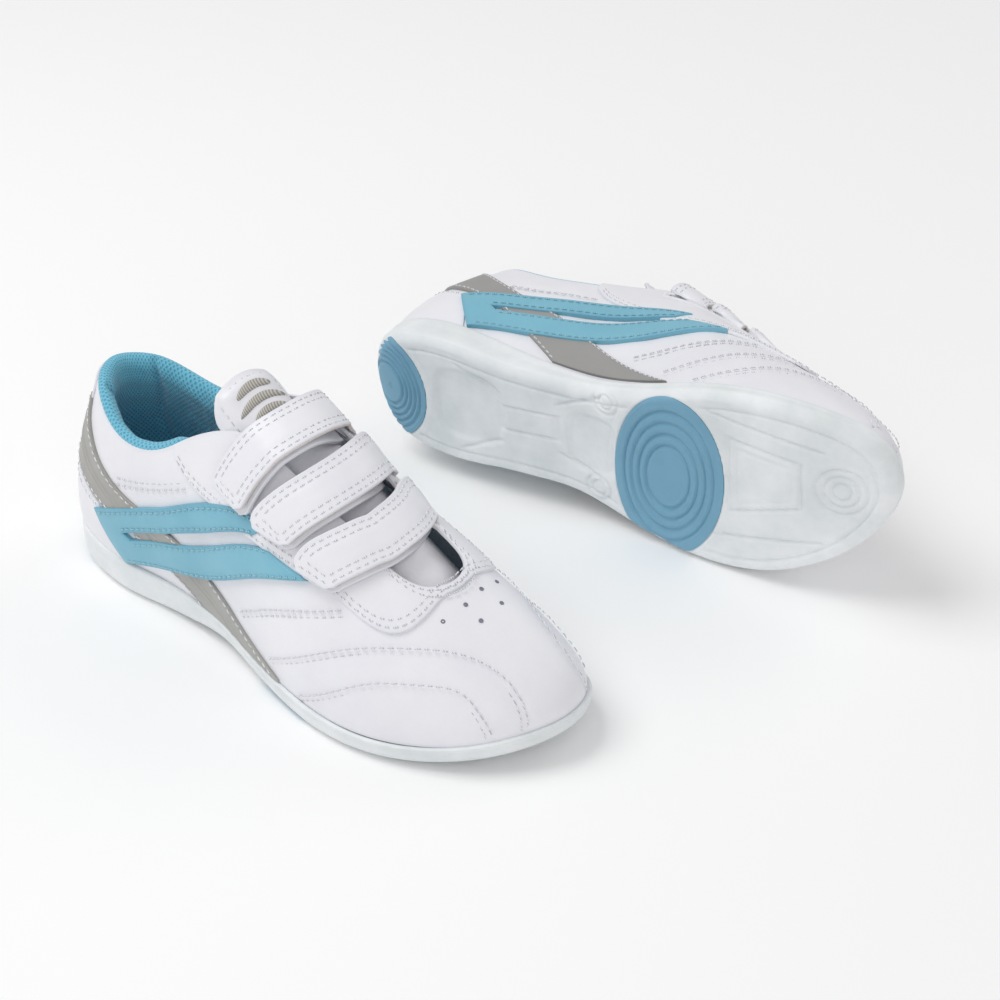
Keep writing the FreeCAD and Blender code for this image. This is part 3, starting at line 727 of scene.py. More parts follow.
@dataclass(frozen=True)
class Thread(Finish):
    """Twisted polyester thread or satin-stitched yarn: fine slanted strands with a silky gloss."""

    strand: float = 0.35
    shade: str = "#B9B9C0"

    def pattern(self, tree: bpy.types.NodeTree, shader: bpy.types.Node) -> None:
        """Slanted strands in tone and relief.

        Args:
            tree: The material's nodes.
            shader: Its shader.
        """
        shader.inputs["Sheen Weight"].default_value = 0.3
        where = add_node(tree, "ShaderNodeTexCoord")
        strands = add_node(tree, "ShaderNodeTexWave", {
            "Vector": where.outputs["Object"], "Scale": 0.16 / (self.strand * MM), "Distortion": 0.6},
            bands_direction="DIAGONAL")
        # the darker bands turn the thread grey: painted shade of the shadowed stitch holes and creases
        # between the strands
        blend = add_node(tree, "ShaderNodeMix", {
            "Factor": strands.outputs["Fac"], 6: linear(self.shade), 7: linear(self.colour)},
            data_type="RGBA")
        tree.links.new(blend.outputs[2], shader.inputs["Base Color"])
        bump = add_node(tree, "ShaderNodeBump", {
            "Height": strands.outputs["Fac"], "Distance": 0.12 * MM, "Strength": 0.7})
        tree.links.new(bump.outputs["Normal"], shader.inputs["Normal"])


@dataclass(frozen=True)
class FibreBoard(Finish):
    """Pressed fibre or felted backing: matt, mottled and slightly rough."""

    shade: str = "#CFC6BB"
    fleck: float = 1.4

    def pattern(self, tree: bpy.types.NodeTree, shader: bpy.types.Node) -> None:
        """Flecks in tone and a felted relief.

        Args:
            tree: The material's nodes.
            shader: Its shader.
        """
        self.blotched(tree, shader, self.fleck, self.shade, 0.0, 0.8)
        where = add_node(tree, "ShaderNodeTexCoord")
        felt = add_node(tree, "ShaderNodeTexNoise", {
            "Vector": where.outputs["Object"], "Scale": 1 / (0.6 * MM), "Detail": 4.0})
        bump = add_node(tree, "ShaderNodeBump", {
            "Height": felt.outputs["Fac"], "Distance": 0.3 * MM, "Strength": 0.7})
        tree.links.new(bump.outputs["Normal"], shader.inputs["Normal"])


class Look(Enum):
    """The finishes of the shoes, each with the record's material slot."""

    WHITE_LEATHER = (CoatedLeather("white_coated_leather", "#EEEEF3", 0.42), "white_leather")
    BLUE_LEATHER = (CoatedLeather("sky_blue_coated_leather", "#7FBBCF", 0.44, shade="#5E9DB6"),
                    "blue_leather")
    SILVER_LEATHER = (CoatedLeather("silver_foiled_leather", "#A9A8A4", 0.4, shade="#8B8A86",
                                    metallic=0.35), "silver_leather")
    GREY_LEATHER = (CoatedLeather("grey_coated_leather", "#9D9C9A", 0.5, shade="#83827F"), "grey_leather")
    WHITE_RUBBER = (MouldedRubber("white_moulded_rubber", "#EFF1F3", 0.5), "white_rubber")
    BLUE_RUBBER = (MouldedRubber("blue_moulded_rubber", "#78AAC3", 0.52, shade="#6A9BB5", glow=0.03),
                   "blue_rubber")
    MESH_LINING = (KnitMesh("blue_knit_mesh", "#72C4DE", 0.75), "blue_fabric")
    PALE_LINING = (KnitMesh("pale_knit_lining", "#E4E4E8", 0.8, shade="#B4B5BC"), "lining_fabric")
    THREAD = (Thread("white_sewing_thread", "#F4F4F6", 0.5, shade="#B4B4BE"), "white_leather")
    BLUE_THREAD = (Thread("blue_sewing_thread", "#A9D6E2", 0.5, shade="#5B93A8"), "blue_leather")
    EMBROIDERY = (Thread("satin_stitch_embroidery", "#CFCBC2", 0.42, shade="#8E8A84"), "embroidery")
    RAW_EDGE = (FibreBoard("cut_strap_edge", "#EBE3DA", 0.85), "white_leather")
    TAPE = (FibreBoard("hook_and_loop_tape", "#EDEDF0", 0.85, shade="#C9C9D0", fleck=0.8), "tape")
    BOARD = (FibreBoard("pressed_fibre_board", "#C9B99B", 0.9, shade="#A8977A"), "board")
    COUNTER = (FibreBoard("stiffener_board", "#DBD5C8", 0.85), "counter_board")
    VENT = (FibreBoard("punched_hole_shadow", "#8E8E9C", 0.95, shade="#6E6E7C"), "white_leather")
    SLOT_FRAME = (CoatedLeather("welded_slot_frame", "#F3F3F6", 0.3, grain=1.6, depth=0.01),
                  "white_plastic")

    @property
    def finish(self) -> Finish:
        """The finish itself."""
        return self.value[0]

    @property
    def slot(self) -> str:
        """The record's slot for it."""
        return self.value[1]


def build_piece(side: Side, name: str, soup: Soup, look: Look, edge: Optional[Look] = None,
                crisp: float = 40.0) -> bpy.types.Object:
    """Makes the Blender object of a piece.

    Args:
        side: The shoe that the piece is on.
        name: Name without the side.
        soup: The piece in shoe coordinates.
        look: Finish of its faces.
        edge: Finish of its cut edges, if it differs.
        crisp: Angle in degrees past which an edge is drawn sharp.

    Returns:
        The object, placed in the row frame.
    """
    used = np.unique(np.concatenate([np.array(face) for face in soup.faces]))
    renumber = np.full(len(soup.points), -1)
    renumber[used] = np.arange(len(used))
    faces = [tuple(int(renumber[index]) for index in face) for face in soup.faces]
    if side is Side.LEFT:
        faces = [tuple(reversed(face)) for face in faces]
    mesh = bpy.data.meshes.new("%s_%s" % (side.value, name))
    mesh.from_pydata(PLACING.points(side, soup.points[used]).tolist(), [], faces)
    mesh.materials.append(look.finish.material())
    if edge:
        mesh.materials.append(edge.finish.material())
        marks = np.zeros(len(faces), np.int32)
        marks[len(faces) - soup.edge_faces:] = 1
        mesh.polygons.foreach_set("material_index", marks)
    corners = np.empty(len(mesh.loops), np.int32)
    mesh.loops.foreach_get("vertex_index", corners)
    flat = mesh.uv_layers.new(name="flat")
    flat.data.foreach_set("uv", soup.flat[used][corners].astype(np.float32).ravel())
    rim = mesh.attributes.new("rim", "FLOAT", "POINT")
    rim.data.foreach_set("value", soup.rim[used].astype(np.float32))
    mesh.polygons.foreach_set("use_smooth", [True] * len(mesh.polygons))
    mesh.update()
    mesh.set_sharp_from_angle(angle=math.radians(crisp))
    made = bpy.data.objects.new(mesh.name, mesh)
    bpy.context.scene.collection.objects.link(made)
    LOG.info("made %s: %d faces", made.name, len(faces))
    return made


# ------------------------------------------------------------------ panels of the upper
def smooth_line(points: Row) -> Callable[[Array], Array]:
    """Curve of (turn, rise) through points spaced evenly over 0 to 1."""
    steps = len(points) - 1
    return curve_through([(index / steps, *point) for index, point in enumerate(points)])


def mirrored(points: Row) -> Row:
    """The same points on the inner side of the shoe."""
    return [(COUNT - turn, rise) for turn, rise in points]


def window(turn_low: float, turn_high: float, rise_low: float, rise_high: float) -> Place:
    """Map of a plain rectangle of turn and rise."""
    return lambda a, b: (mix(turn_low, turn_high, a), mix(rise_low, rise_high, b))


def between(low_points: Row, high_points: Row) -> Place:
    """Map of the patch between two drawn edges.

    Args:
        low_points: Points of the low edge.
        high_points: Points of the high edge.

    Returns:
        The map from (a, b) to turn and rise.
    """
    low_edge, high_edge = smooth_line(low_points), smooth_line(high_points)

    def place(a: Array, b: Array) -> tuple[Array, Array]:
        """Turn and rise between the two edges."""
        low, high = low_edge(a), high_edge(a)
        return mix(low[..., 0], high[..., 0], b), mix(low[..., 1], high[..., 1], b)
    return place


overlay_edge = smooth_line(OVERLAY_EDGE)


def opening_rise(turn: Array, inset: float = 0.0) -> Array:
    """Rise of the throat's own edge, which dips to a rounded cut-out in front of the last strap."""
    front = np.clip(1 - ((turn - TOE) / 3.1) ** 2, 0, 1)
    return 1 - 0.2 * ease(front * 1.15) - inset


def overlay_place(a: Array, b: Array) -> tuple[Array, Array]:
    """Map of the throat overlay, from its lower edge to the opening."""
    edge = overlay_edge(a)
    return edge[..., 0], mix(edge[..., 1], opening_rise(edge[..., 0]), b)


@dataclass
class Panel:
    """A leather panel lying on the upper, with rolled edges and stitched grooves."""

    place: Place
    low: float
    high: float
    roll: float = 0.5
    step: float = 1.6
    puff: float = 0.0
    wobble: float = 0.12
    cords: tuple[float, ...] = ()
    cut: Optional[Callable[[Array, Array], Array]] = None

    def lengths(self) -> tuple[float, float]:
        """Mean length and width of the panel in millimetres.

        Returns:
            Length and width.
        """
        along = np.linspace(0, 1, 41)[:, None]
        across = np.linspace(0, 1, 9)[None, :]
        grid = upper(*self.place(*np.broadcast_arrays(along, across)))
        first = np.linalg.norm(np.diff(grid, axis=0), axis=-1).sum(0).mean()
        second = np.linalg.norm(np.diff(grid, axis=1), axis=-1).sum(1).mean()
        return float(first), float(second)

    def soup(self, grooves: Sequence[Array] = ()) -> Soup:
        """Builds the solid.

        Args:
            grooves: Lines of stitching that pull the face down, as rows of points.

        Returns:
            The panel in shoe coordinates.
        """
        length, width = self.lengths()
        a = graded(length, self.step, self.roll)
        b = graded(width, self.step, self.roll)
        a_grid, b_grid = np.meshgrid(a, b, indexing="ij")
        turn, rise = self.place(a_grid, b_grid)
        base = upper(turn, rise)
        across = np.linalg.norm(np.diff(base, axis=1), axis=-1).sum(1)[:, None]
        inward = np.minimum(np.minimum(a_grid, 1 - a_grid) * length,
                            np.minimum(b_grid, 1 - b_grid) * across)
        part = np.clip(inward / self.roll, 0, 1)
        height = self.high - self.roll * 0.8 * (1 - np.sqrt(1 - (1 - part) ** 2))
        height = height + self.puff * ease(inward / 6)
        height = height + self.wobble * ripple(base, 34, 1.0) * ease(inward / 5)
        for middle in self.cords:
            height = height + 0.35 * hump((b_grid - middle) * across, 0.7)
        if grooves:
            height = height - 0.4 * hump(nearest(base, np.concatenate(grooves)), 0.8)
        top = lifted(turn, rise, height)
        bottom = lifted(turn, rise, np.full(turn.shape, self.low))
        keep = None
        if self.cut:
            gone = self.cut(turn, rise)
            keep = ~(gone[:-1, :-1] & gone[1:, :-1] & gone[1:, 1:] & gone[:-1, 1:])
        flat = np.stack([a_grid * length, b_grid * width], -1)
        return solid_from(top, bottom, flat, hump(inward, 1.1), keep)

    def rail(self, inset: float, far: bool = False, start: float = 0.0, stop: float = 1.0) -> Row:
        """Line of (turn, rise) a few millimetres inside one long edge.

        Args:
            inset: Distance from the edge in millimetres.
            far: Whether the edge is the high one.
            start: Where the line begins along the panel.
            stop: Where it ends.

        Returns:
            Points of the line.
        """
        a = np.linspace(start, stop, 90)
        near = upper(*self.place(a, np.zeros(90)))
        away = upper(*self.place(a, np.ones(90)))
        part = inset / np.maximum(np.linalg.norm(away - near, axis=-1), 1e-6)
        turn, rise = self.place(a, 1 - part if far else part)
        return list(zip(turn.tolist(), rise.tolist()))


def on_upper(points: Row, height: float, samples: int = 240) -> Array:
    """Smooth line of shoe points through (turn, rise) points, above the upper."""
    found = smooth_line(points)(np.linspace(0, 1, samples))
    return lifted(found[..., 0], found[..., 1], np.full(samples, height))


def offset_line(line: Array, shift: float) -> Array:
    """A line on the shoe's side moved sideways along the surface."""
    along = unit(np.gradient(line, axis=0))
    middle = np.array([120.0, 0.0, 40.0])
    outward = unit((line - middle) * (0.15, 1.0, 0.6))
    return line + unit(np.cross(outward, along)) * shift


@dataclass(frozen=True)
class Stitching:
    """Lockstitch of heavy thread: short raised loops with their ends pulled into the leather."""

    length: float = 2.5
    gap: float = 1.0
    thick: float = 0.34

    def soups(self, line: Array, outward: Array) -> list[Soup]:
        """One small rounded stitch after another along a line.

        Args:
            line: Points of the line on the surface.
            outward: Direction away from the surface at each point.

        Returns:
            The stitches.
        """
        steps = np.linalg.norm(np.diff(line, axis=0), axis=-1)
        reach = np.concatenate([[0], np.cumsum(steps)])
        pitch = self.length + self.gap
        made = []
        for number in range(int(reach[-1] / pitch)):
            start = number * pitch + self.gap / 2
            where = start + self.length * np.array([0.0, 0.12, 0.5, 0.88, 1.0])
            centre = np.stack([np.interp(where, reach, line[:, axis]) for axis in range(3)], -1)
            out = unit(np.stack([np.interp(where, reach, outward[:, axis]) for axis in range(3)], -1))
            along = unit(centre[-1:] - centre[:1])
            side = unit(np.cross(out, along))
            swell = np.array([0.35, 0.9, 1.0, 0.9, 0.35])[:, None, None] * self.thick
            sink = np.array([-0.28, 0.02, 0.14, 0.02, -0.28])[:, None]
            angle = np.arange(6) * math.pi / 3
            ring = (np.cos(angle)[None, :, None] * side[:, None, :]
                    + np.sin(angle)[None, :, None] * out[:, None, :])
            points = (centre + out * sink)[:, None, :] + ring * swell
            faces = []
            for i in range(4):
                for j in range(6):
                    k = (j + 1) % 6
                    faces.append((i * 6 + j, i * 6 + k, i * 6 + 6 + k, i * 6 + 6 + j))
            faces += [tuple(range(5, -1, -1)), tuple(range(24, 30))]
            made.append(plain(points.reshape(-1, 3), faces))
        return made


STITCH = Stitching()


def stitched(lines: Sequence[Array], rows: Sequence[float] = (0.0,)) -> list[Soup]:
    """Stitches along lines that lie on the upper; rows are sideways shifts of parallel rows.

    Args:
        lines: Lines on the upper.
        rows: Sideways shift of each parallel row, in millimetres.

    Returns:
        The stitches.
    """
    made = []
    middle = np.array([0.0, 2.0, 34.0])
    for line in lines:
        for shift in rows:
            moved = offset_line(line, shift) if shift else line
            centre = middle + moved * (1, 0, 0)
            made += STITCH.soups(moved, unit(moved - centre))
    return made


# ------------------------------------------------------------------ the upper
@dataclass
class Upper:
    """The panels, trims and stitching of one shoe's upper."""

    side: Side
    leather: float = 1.2

    @property
    def body(self) -> str:
        """Name of the shoe's body."""
        return self.side.value + "_shoe"

    def add(self, name: str, soup: Soup, look: Look, *nodes: str, edge: Optional[Look] = None) -> None:
        """Makes a piece that rides on the shoe and stands for CAD nodes."""
        made = build_piece(self.side, name, soup, look, edge)
        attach(made, self.body)
        if nodes:
            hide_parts(*("%s_%s" % (self.side.value, node) for node in nodes))

    def vamp_lines(self) -> list[Array]:
        """Lines of the decorative stitching on the forefoot, outer and inner side."""
        lines = []
        for row in VAMP_ROWS:
            lines += [on_upper(row, 0.12), on_upper(mirrored(row), 0.12)]
        return lines

    def quarter_lines(self) -> list[Array]:
        """Lines of stitching under the collar."""
        return [on_upper(QUARTER_ROW, 0.12), on_upper(mirrored(QUARTER_ROW), 0.12)]

    def make_shell(self) -> None:
        """Quarters and vamp, which run into each other without a step."""
        grooves = [offset_line(line, shift) for line in self.vamp_lines() + self.quarter_lines()
                   for shift in (-1.3, 1.3)]

        def place(a: Array, b: Array) -> tuple[Array, Array]:
            """Map of the shell, lower where the throat overlay covers it."""
            turn = mix(0.01, COUNT - 0.01, a)
            side_turn = np.minimum(turn, COUNT - turn)
            return turn, mix(0.0, mix(0.79, 1.0, ease((7.8 - side_turn) / 1.4)), b)
        panel = Panel(place, -self.leather, 0.0, roll=0.4, step=1.5, wobble=0.22)
        self.add("shell_leather", panel.soup(grooves), Look.WHITE_LEATHER, "quarter_outer",
                 "quarter_inner", "vamp")

    def make_vents(self) -> None:
        """Punched vents of the vamp."""
        holes = []
        for turn, rise in VENTS:
            centre = lifted(np.array([turn]), np.array([rise]), np.array([0.0]))[0]
            out = upper_normal(np.array([turn]), np.array([rise]))[0]
            side = unit(np.cross(out, (0.0, 0.0, 1.0)))
            above = np.cross(out, side)
            angle = np.arange(14) * 2 * math.pi / 14
            rings = [centre + out * high + radius * (np.cos(angle)[:, None] * side
                                                     + np.sin(angle)[:, None] * above)
                     for radius, high in ((0.95, -0.2), (0.95, 0.22), (0.6, 0.3), (0.25, 0.12))]
            faces = [(i * 14 + j, i * 14 + (j + 1) % 14, i * 14 + 14 + (j + 1) % 14, i * 14 + 14 + j)
                     for i in range(3) for j in range(14)]
            faces += [tuple(range(13, -1, -1)), tuple(range(42, 56))]
            holes.append(plain(np.concatenate(rings), faces))
        self.add("vamp_vents", joined(holes), Look.VENT)

    def make_overlay(self) -> None:
        """Throat overlay with its rounded cut-out and the three strap slots."""
        panel = Panel(overlay_place, 0.05, 0.1 + self.leather, roll=0.7, step=1.3, puff=0.15,
                      cut=self.in_slot)
        edge_rows = [panel.rail(2.2, stop=0.985, start=0.015), panel.rail(5.0, stop=0.98, start=0.02)]
        throat_rows = [panel.rail(inset, far=True, start=0.3, stop=0.7) for inset in (2.2, 5.4)]
        lines = [on_upper(row, 0.1 + self.leather + 0.1, 700) for row in edge_rows + throat_rows]
        self.add("throat_overlay_leather", panel.soup(lines), Look.WHITE_LEATHER, "throat_overlay")
        self.add("throat_stitches", joined(stitched(lines)), Look.THREAD)

    def in_slot(self, turn: Array, rise: Array) -> Array:
        """Whether points of the upper lie in a strap slot.

        Args:
            turn: Place around the shoe.
            rise: Place up its side.

        Returns:
            True in a slot.
        """
        inside = np.zeros(turn.shape, bool)
        for strap in STRAPS:
            middle_turn, middle_rise, half_turn, half_rise = strap.slot_window()
            inside |= (np.abs(turn - middle_turn) < half_turn) & (np.abs(rise - middle_rise) < half_rise)
        return inside

    def make_slot_frames(self) -> None:
        """Welded frames round the strap slots."""
        rings = []
        for strap in STRAPS:
            turn, rise, half_turn, half_rise = strap.slot_window()
            per_turn, per_rise = strap.slot_scale()
            angle = np.arange(48) * 2 * math.pi / 48
            corner = np.sign(np.cos(angle)) * np.abs(np.cos(angle)) ** 0.35
            upright = np.sign(np.sin(angle)) * np.abs(np.sin(angle)) ** 0.35
            loops = []
            for grow, high in ((-0.4, -1.0), (-0.5, 1.5), (0.2, 1.85), (1.3, 1.8), (2.0, 1.45), (2.0, 1.1)):
                turns = turn + corner * (half_turn + grow / per_turn)
                rises = rise + upright * (half_rise + grow / per_rise)
                loops.append(lifted(turns, rises, np.full(48, high)))
            points = np.stack(loops, 1)
            faces = grid_faces(48, 6, closed=True)
            faces += [(i * 6 + 5, ((i + 1) % 48) * 6 + 5, ((i + 1) % 48) * 6, i * 6) for i in range(48)]
            rings.append(plain(points.reshape(-1, 3), faces))
        self.add("slot_frame_rings", joined(rings), Look.SLOT_FRAME, "slot_frames")

    def make_trims(self) -> None:
        """Back tab, heel foxing, slanting bands and forked side panels."""
        threads = []
        blue_threads = []
        tab = Panel(window(-1.35, 1.35, 0.66, 1.0), 0.0, 0.9, roll=0.5, step=1.2)
        self.add("back_tab_leather", tab.soup(), Look.WHITE_LEATHER, "back_tab")
        threads += [on_upper(tab.rail(1.8), 1.0), on_upper(tab.rail(4.0), 1.0)]
        foxing = [Panel(between(edge([(0.02, 0.0), (1.6, 0.0), (3.1, 0.0)]),
                                edge([(0.02, 0.44), (1.4, 0.43), (2.6, 0.37)])), 0.0, 0.75, step=1.2)
                  for edge in (list, mirrored)]
        self.add("heel_foxing_leather", joined([self.turned(panel.soup(), number)
                                                for number, panel in enumerate(foxing)]),
                 Look.WHITE_LEATHER, "heel_foxing")
        threads += [on_upper(panel.rail(1.8, far=True), 0.85) for panel in foxing]
        for number, (name, edge) in enumerate((("outer", list), ("inner", mirrored))):
            band_look = Look.SILVER_LEATHER if name == "outer" else Look.GREY_LEATHER
            band = Panel(between(edge(BAND_LOW), edge(BAND_HIGH)), 0.1, 1.3, step=1.0,
                         cords=(0.42, 0.56) if name == "outer" else ())
            self.add("band_" + name + "_leather", self.turned(band.soup(), number), band_look,
                     "band_" + name)
            threads += [on_upper(band.rail(1.6, far), 1.35) for far in (False, True)]
            soup, rails = self.fork(edge)
            self.add("fork_" + name + "_leather", self.turned(soup, number), Look.BLUE_LEATHER,
                     "fork_" + name)
            lines = [on_upper(rail, 2.42) for rail in rails]
            blue_threads += lines
        self.add("trim_stitches", joined(stitched(threads)), Look.THREAD)
        self.add("fork_stitches", joined(stitched(blue_threads)), Look.BLUE_THREAD)

    @staticmethod
    def fork(edge: Callable[[Row], Row]) -> tuple[Soup, list[Row]]:
        """Two-pronged side panel, whose slot closes in a round end near the heel.

        Args:
            edge: What carries a drawn edge to this side of the shoe.

        Returns:
            The panel and the lines of its stitching.
        """
        def drawn(points: Row) -> Callable[[Array], Array]:
            """Curve through rows of place along the fork, turn and rise."""
            moved = edge([point[1:] for point in points])
            return curve_through([(point[0], *other) for point, other in zip(points, moved)])
        low, high = smooth_line(edge(FORK_LOW)), smooth_line(edge(FORK_HIGH))
        slot = 0.13
        slot_low = drawn([(0, 2.84, 0.165), (slot, *SLOT_LOW[0]), (0.42, *SLOT_LOW[1]),
                          (0.7, *SLOT_LOW[2]), (1, *SLOT_LOW[3])])
        slot_high = drawn([(0, 2.8, 0.185), (slot, *SLOT_HIGH[0]), (0.42, *SLOT_HIGH[1]),
                           (0.7, *SLOT_HIGH[2]), (1, *SLOT_HIGH[3])])
        a = np.concatenate([np.linspace(0, slot, 14)[:-1], graded(90, 1.1, 0.6) * (1 - slot) + slot])
        prong = graded(15, 1.1, 0.6)
        a_grid, b_grid = np.meshgrid(a, np.concatenate([prong, 1 + prong]), indexing="ij")
        upper_prong = np.zeros(b_grid.shape, bool)
        upper_prong[:, len(prong):] = True
        part = np.where(upper_prong, b_grid - 1, b_grid)[..., None]
        found = np.where(upper_prong[..., None], mix(slot_high(a_grid), high(a_grid), part),
                         mix(low(a_grid), slot_low(a_grid), part))
        turn, rise = found[..., 0], found[..., 1]
        base = upper(turn, rise)
        reach = np.concatenate([[0], np.cumsum(np.linalg.norm(np.diff(base[:, 8], axis=0), axis=-1))])
        width = np.where(upper_prong[0], np.linalg.norm(base[40, -1] - base[40, len(prong)]),
                         np.linalg.norm(base[40, len(prong) - 1] - base[40, 0]))[None, :]
        along = np.minimum(reach, reach[-1] - reach)[:, None]
        outer = np.where(upper_prong, 1 - part[..., 0], part[..., 0]) * width
        slot_side = np.where(upper_prong, part[..., 0], 1 - part[..., 0]) * width
        slot_reach = np.interp(slot, a, reach)
        slot_side = np.hypot(slot_side, np.clip(slot_reach - reach, 0, None)[:, None])
        inward = np.minimum(np.minimum(along, outer), slot_side)
        roll = np.clip(inward / 0.6, 0, 1)
        height = 2.3 - 0.5 * (1 - np.sqrt(1 - (1 - roll) ** 2)) + 0.15 * ease(inward / 5)
        height = height - 0.22 * hump(inward - 2.0, 0.7)
        top = lifted(turn, rise, height)
        bottom = lifted(turn, rise, np.full(turn.shape, 0.1))
        keep = np.ones((len(a) - 1, 2 * len(prong) - 1), bool)
        keep[a[:-1] >= slot - 1e-9, len(prong) - 1] = False
        flat = np.stack([np.repeat(reach[:, None], b_grid.shape[1], 1), b_grid * 15], -1)
        rails = []
        for first, second, inset, start in ((low, slot_low, 2.0, 0.03), (slot_low, low, 2.0, slot),
                                            (slot_high, high, 2.0, slot), (high, slot_high, 2.0, 0.03)):
            steps = np.linspace(start, 0.99, 90)
            near, away = first(steps), second(steps)
            gap = np.linalg.norm(upper(away[:, 0], away[:, 1]) - upper(near[:, 0], near[:, 1]), axis=-1)
            line = mix(near, away, np.clip(inset / np.maximum(gap, 1e-6), 0, 0.5)[:, None])
            rails.append([tuple(point) for point in line.tolist()])
        return solid_from(top, bottom, flat, hump(inward, 1.1), keep), rails

    @staticmethod
    def turned(soup: Soup, number: int) -> Soup:
        """Turns the faces of a piece on the inner side outward."""
        if number:
            soup.faces = [tuple(reversed(face)) for face in soup.faces]
        return soup

    def make_upper_stitches(self) -> None:
        """Decorative double rows on the quarters and the vamp."""
        lines = self.vamp_lines() + self.quarter_lines()
        self.add("upper_stitches", joined(stitched(lines, (-1.3, 1.3))), Look.THREAD)

    def make_collar(self) -> None:
        """Padded mesh collar, rolled over the opening's edge and running down inside."""
        turns = np.linspace(-6.15, 6.15, 260)
        keys = curve_through([(0, 1.0, 0.25, -1.6), (0.06, 1.0, 0.5, 0.9), (0.13, 1.0, 2.0, 2.7),
                              (0.2, 1.0, 4.2, 3.1), (0.28, 0.99, 6.6, 1.9), (0.37, 0.96, 8.0, 0.3),
                              (0.48, 0.88, 8.2, 0), (0.64, 0.66, 6.3, 0), (0.8, 0.42, 4.4, 0),
                              (1.0, 0.14, 3.0, 0)])
        section = keys(np.linspace(0, 1, 60))
        grid_turn = np.repeat(turns[:, None], 60, 1)
        rise, depth, lift = (np.repeat(section[None, :, axis], 260, 0) for axis in range(3))
        ends = ease((6.15 - np.abs(grid_turn)) / 0.7)
        depth = mix(1.3, depth, 0.25 + 0.75 * ends)
        lift = lift * ends
        base = lifted(grid_turn, rise, -depth)
        fold = hump(np.abs(grid_turn) - 1.75 - 0.12 * np.sin(9 * rise), 0.16) * ease((1.02 - rise) * 6 + 0.5)
        small = ripple(base, 21, 2.0) * 0.45 + ripple(base, 9, 0.4) * 0.16
        inner_part = ease((depth - 2.5) / 3)
        base = lifted(grid_turn, rise, -(depth + inner_part * (small - 2.4 * fold)))
        base[..., 2] += lift
        back = lifted(turns[:, None], np.repeat(np.linspace(0.14, 1.0, 14)[None, :], 260, 0),
                      np.full((260, 14), -1.28))
        back[:, -1, 2] -= 1.0
        loop = np.concatenate([base, back], 1)
        columns = loop.shape[1]
        faces = grid_faces(260, columns)
        faces = [tuple(reversed(face)) for face in faces]
        for i in range(259):
            faces.append((i * columns, i * columns + columns - 1, (i + 1) * columns + columns - 1,
                          (i + 1) * columns)[::-1])
        last = 259 * columns
        faces += [tuple(range(columns)), tuple(range(last + columns - 1, last - 1, -1))]
        reach = np.cumsum(np.linalg.norm(np.diff(loop[130], axis=0, prepend=loop[130][:1]), axis=-1))
        flat = np.stack([np.repeat(turns[:, None] * 21, columns, 1),
                         np.repeat(reach[None, :], 260, 0)], -1)
        soup = Soup(loop.reshape(-1, 3), faces, flat.reshape(-1, 2), np.zeros(loop.shape[0] * columns))
        made = build_piece(self.side, "collar_padding", soup, Look.MESH_LINING, crisp=70)
        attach(made, self.body)
        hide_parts(self.side.value + "_collar_lining")

    def make(self) -> None:
        """Builds the whole upper."""
        self.make_shell()
        self.make_vents()
        self.make_overlay()
        self.make_slot_frames()
        self.make_trims()
        self.make_upper_stitches()
        self.make_collar()


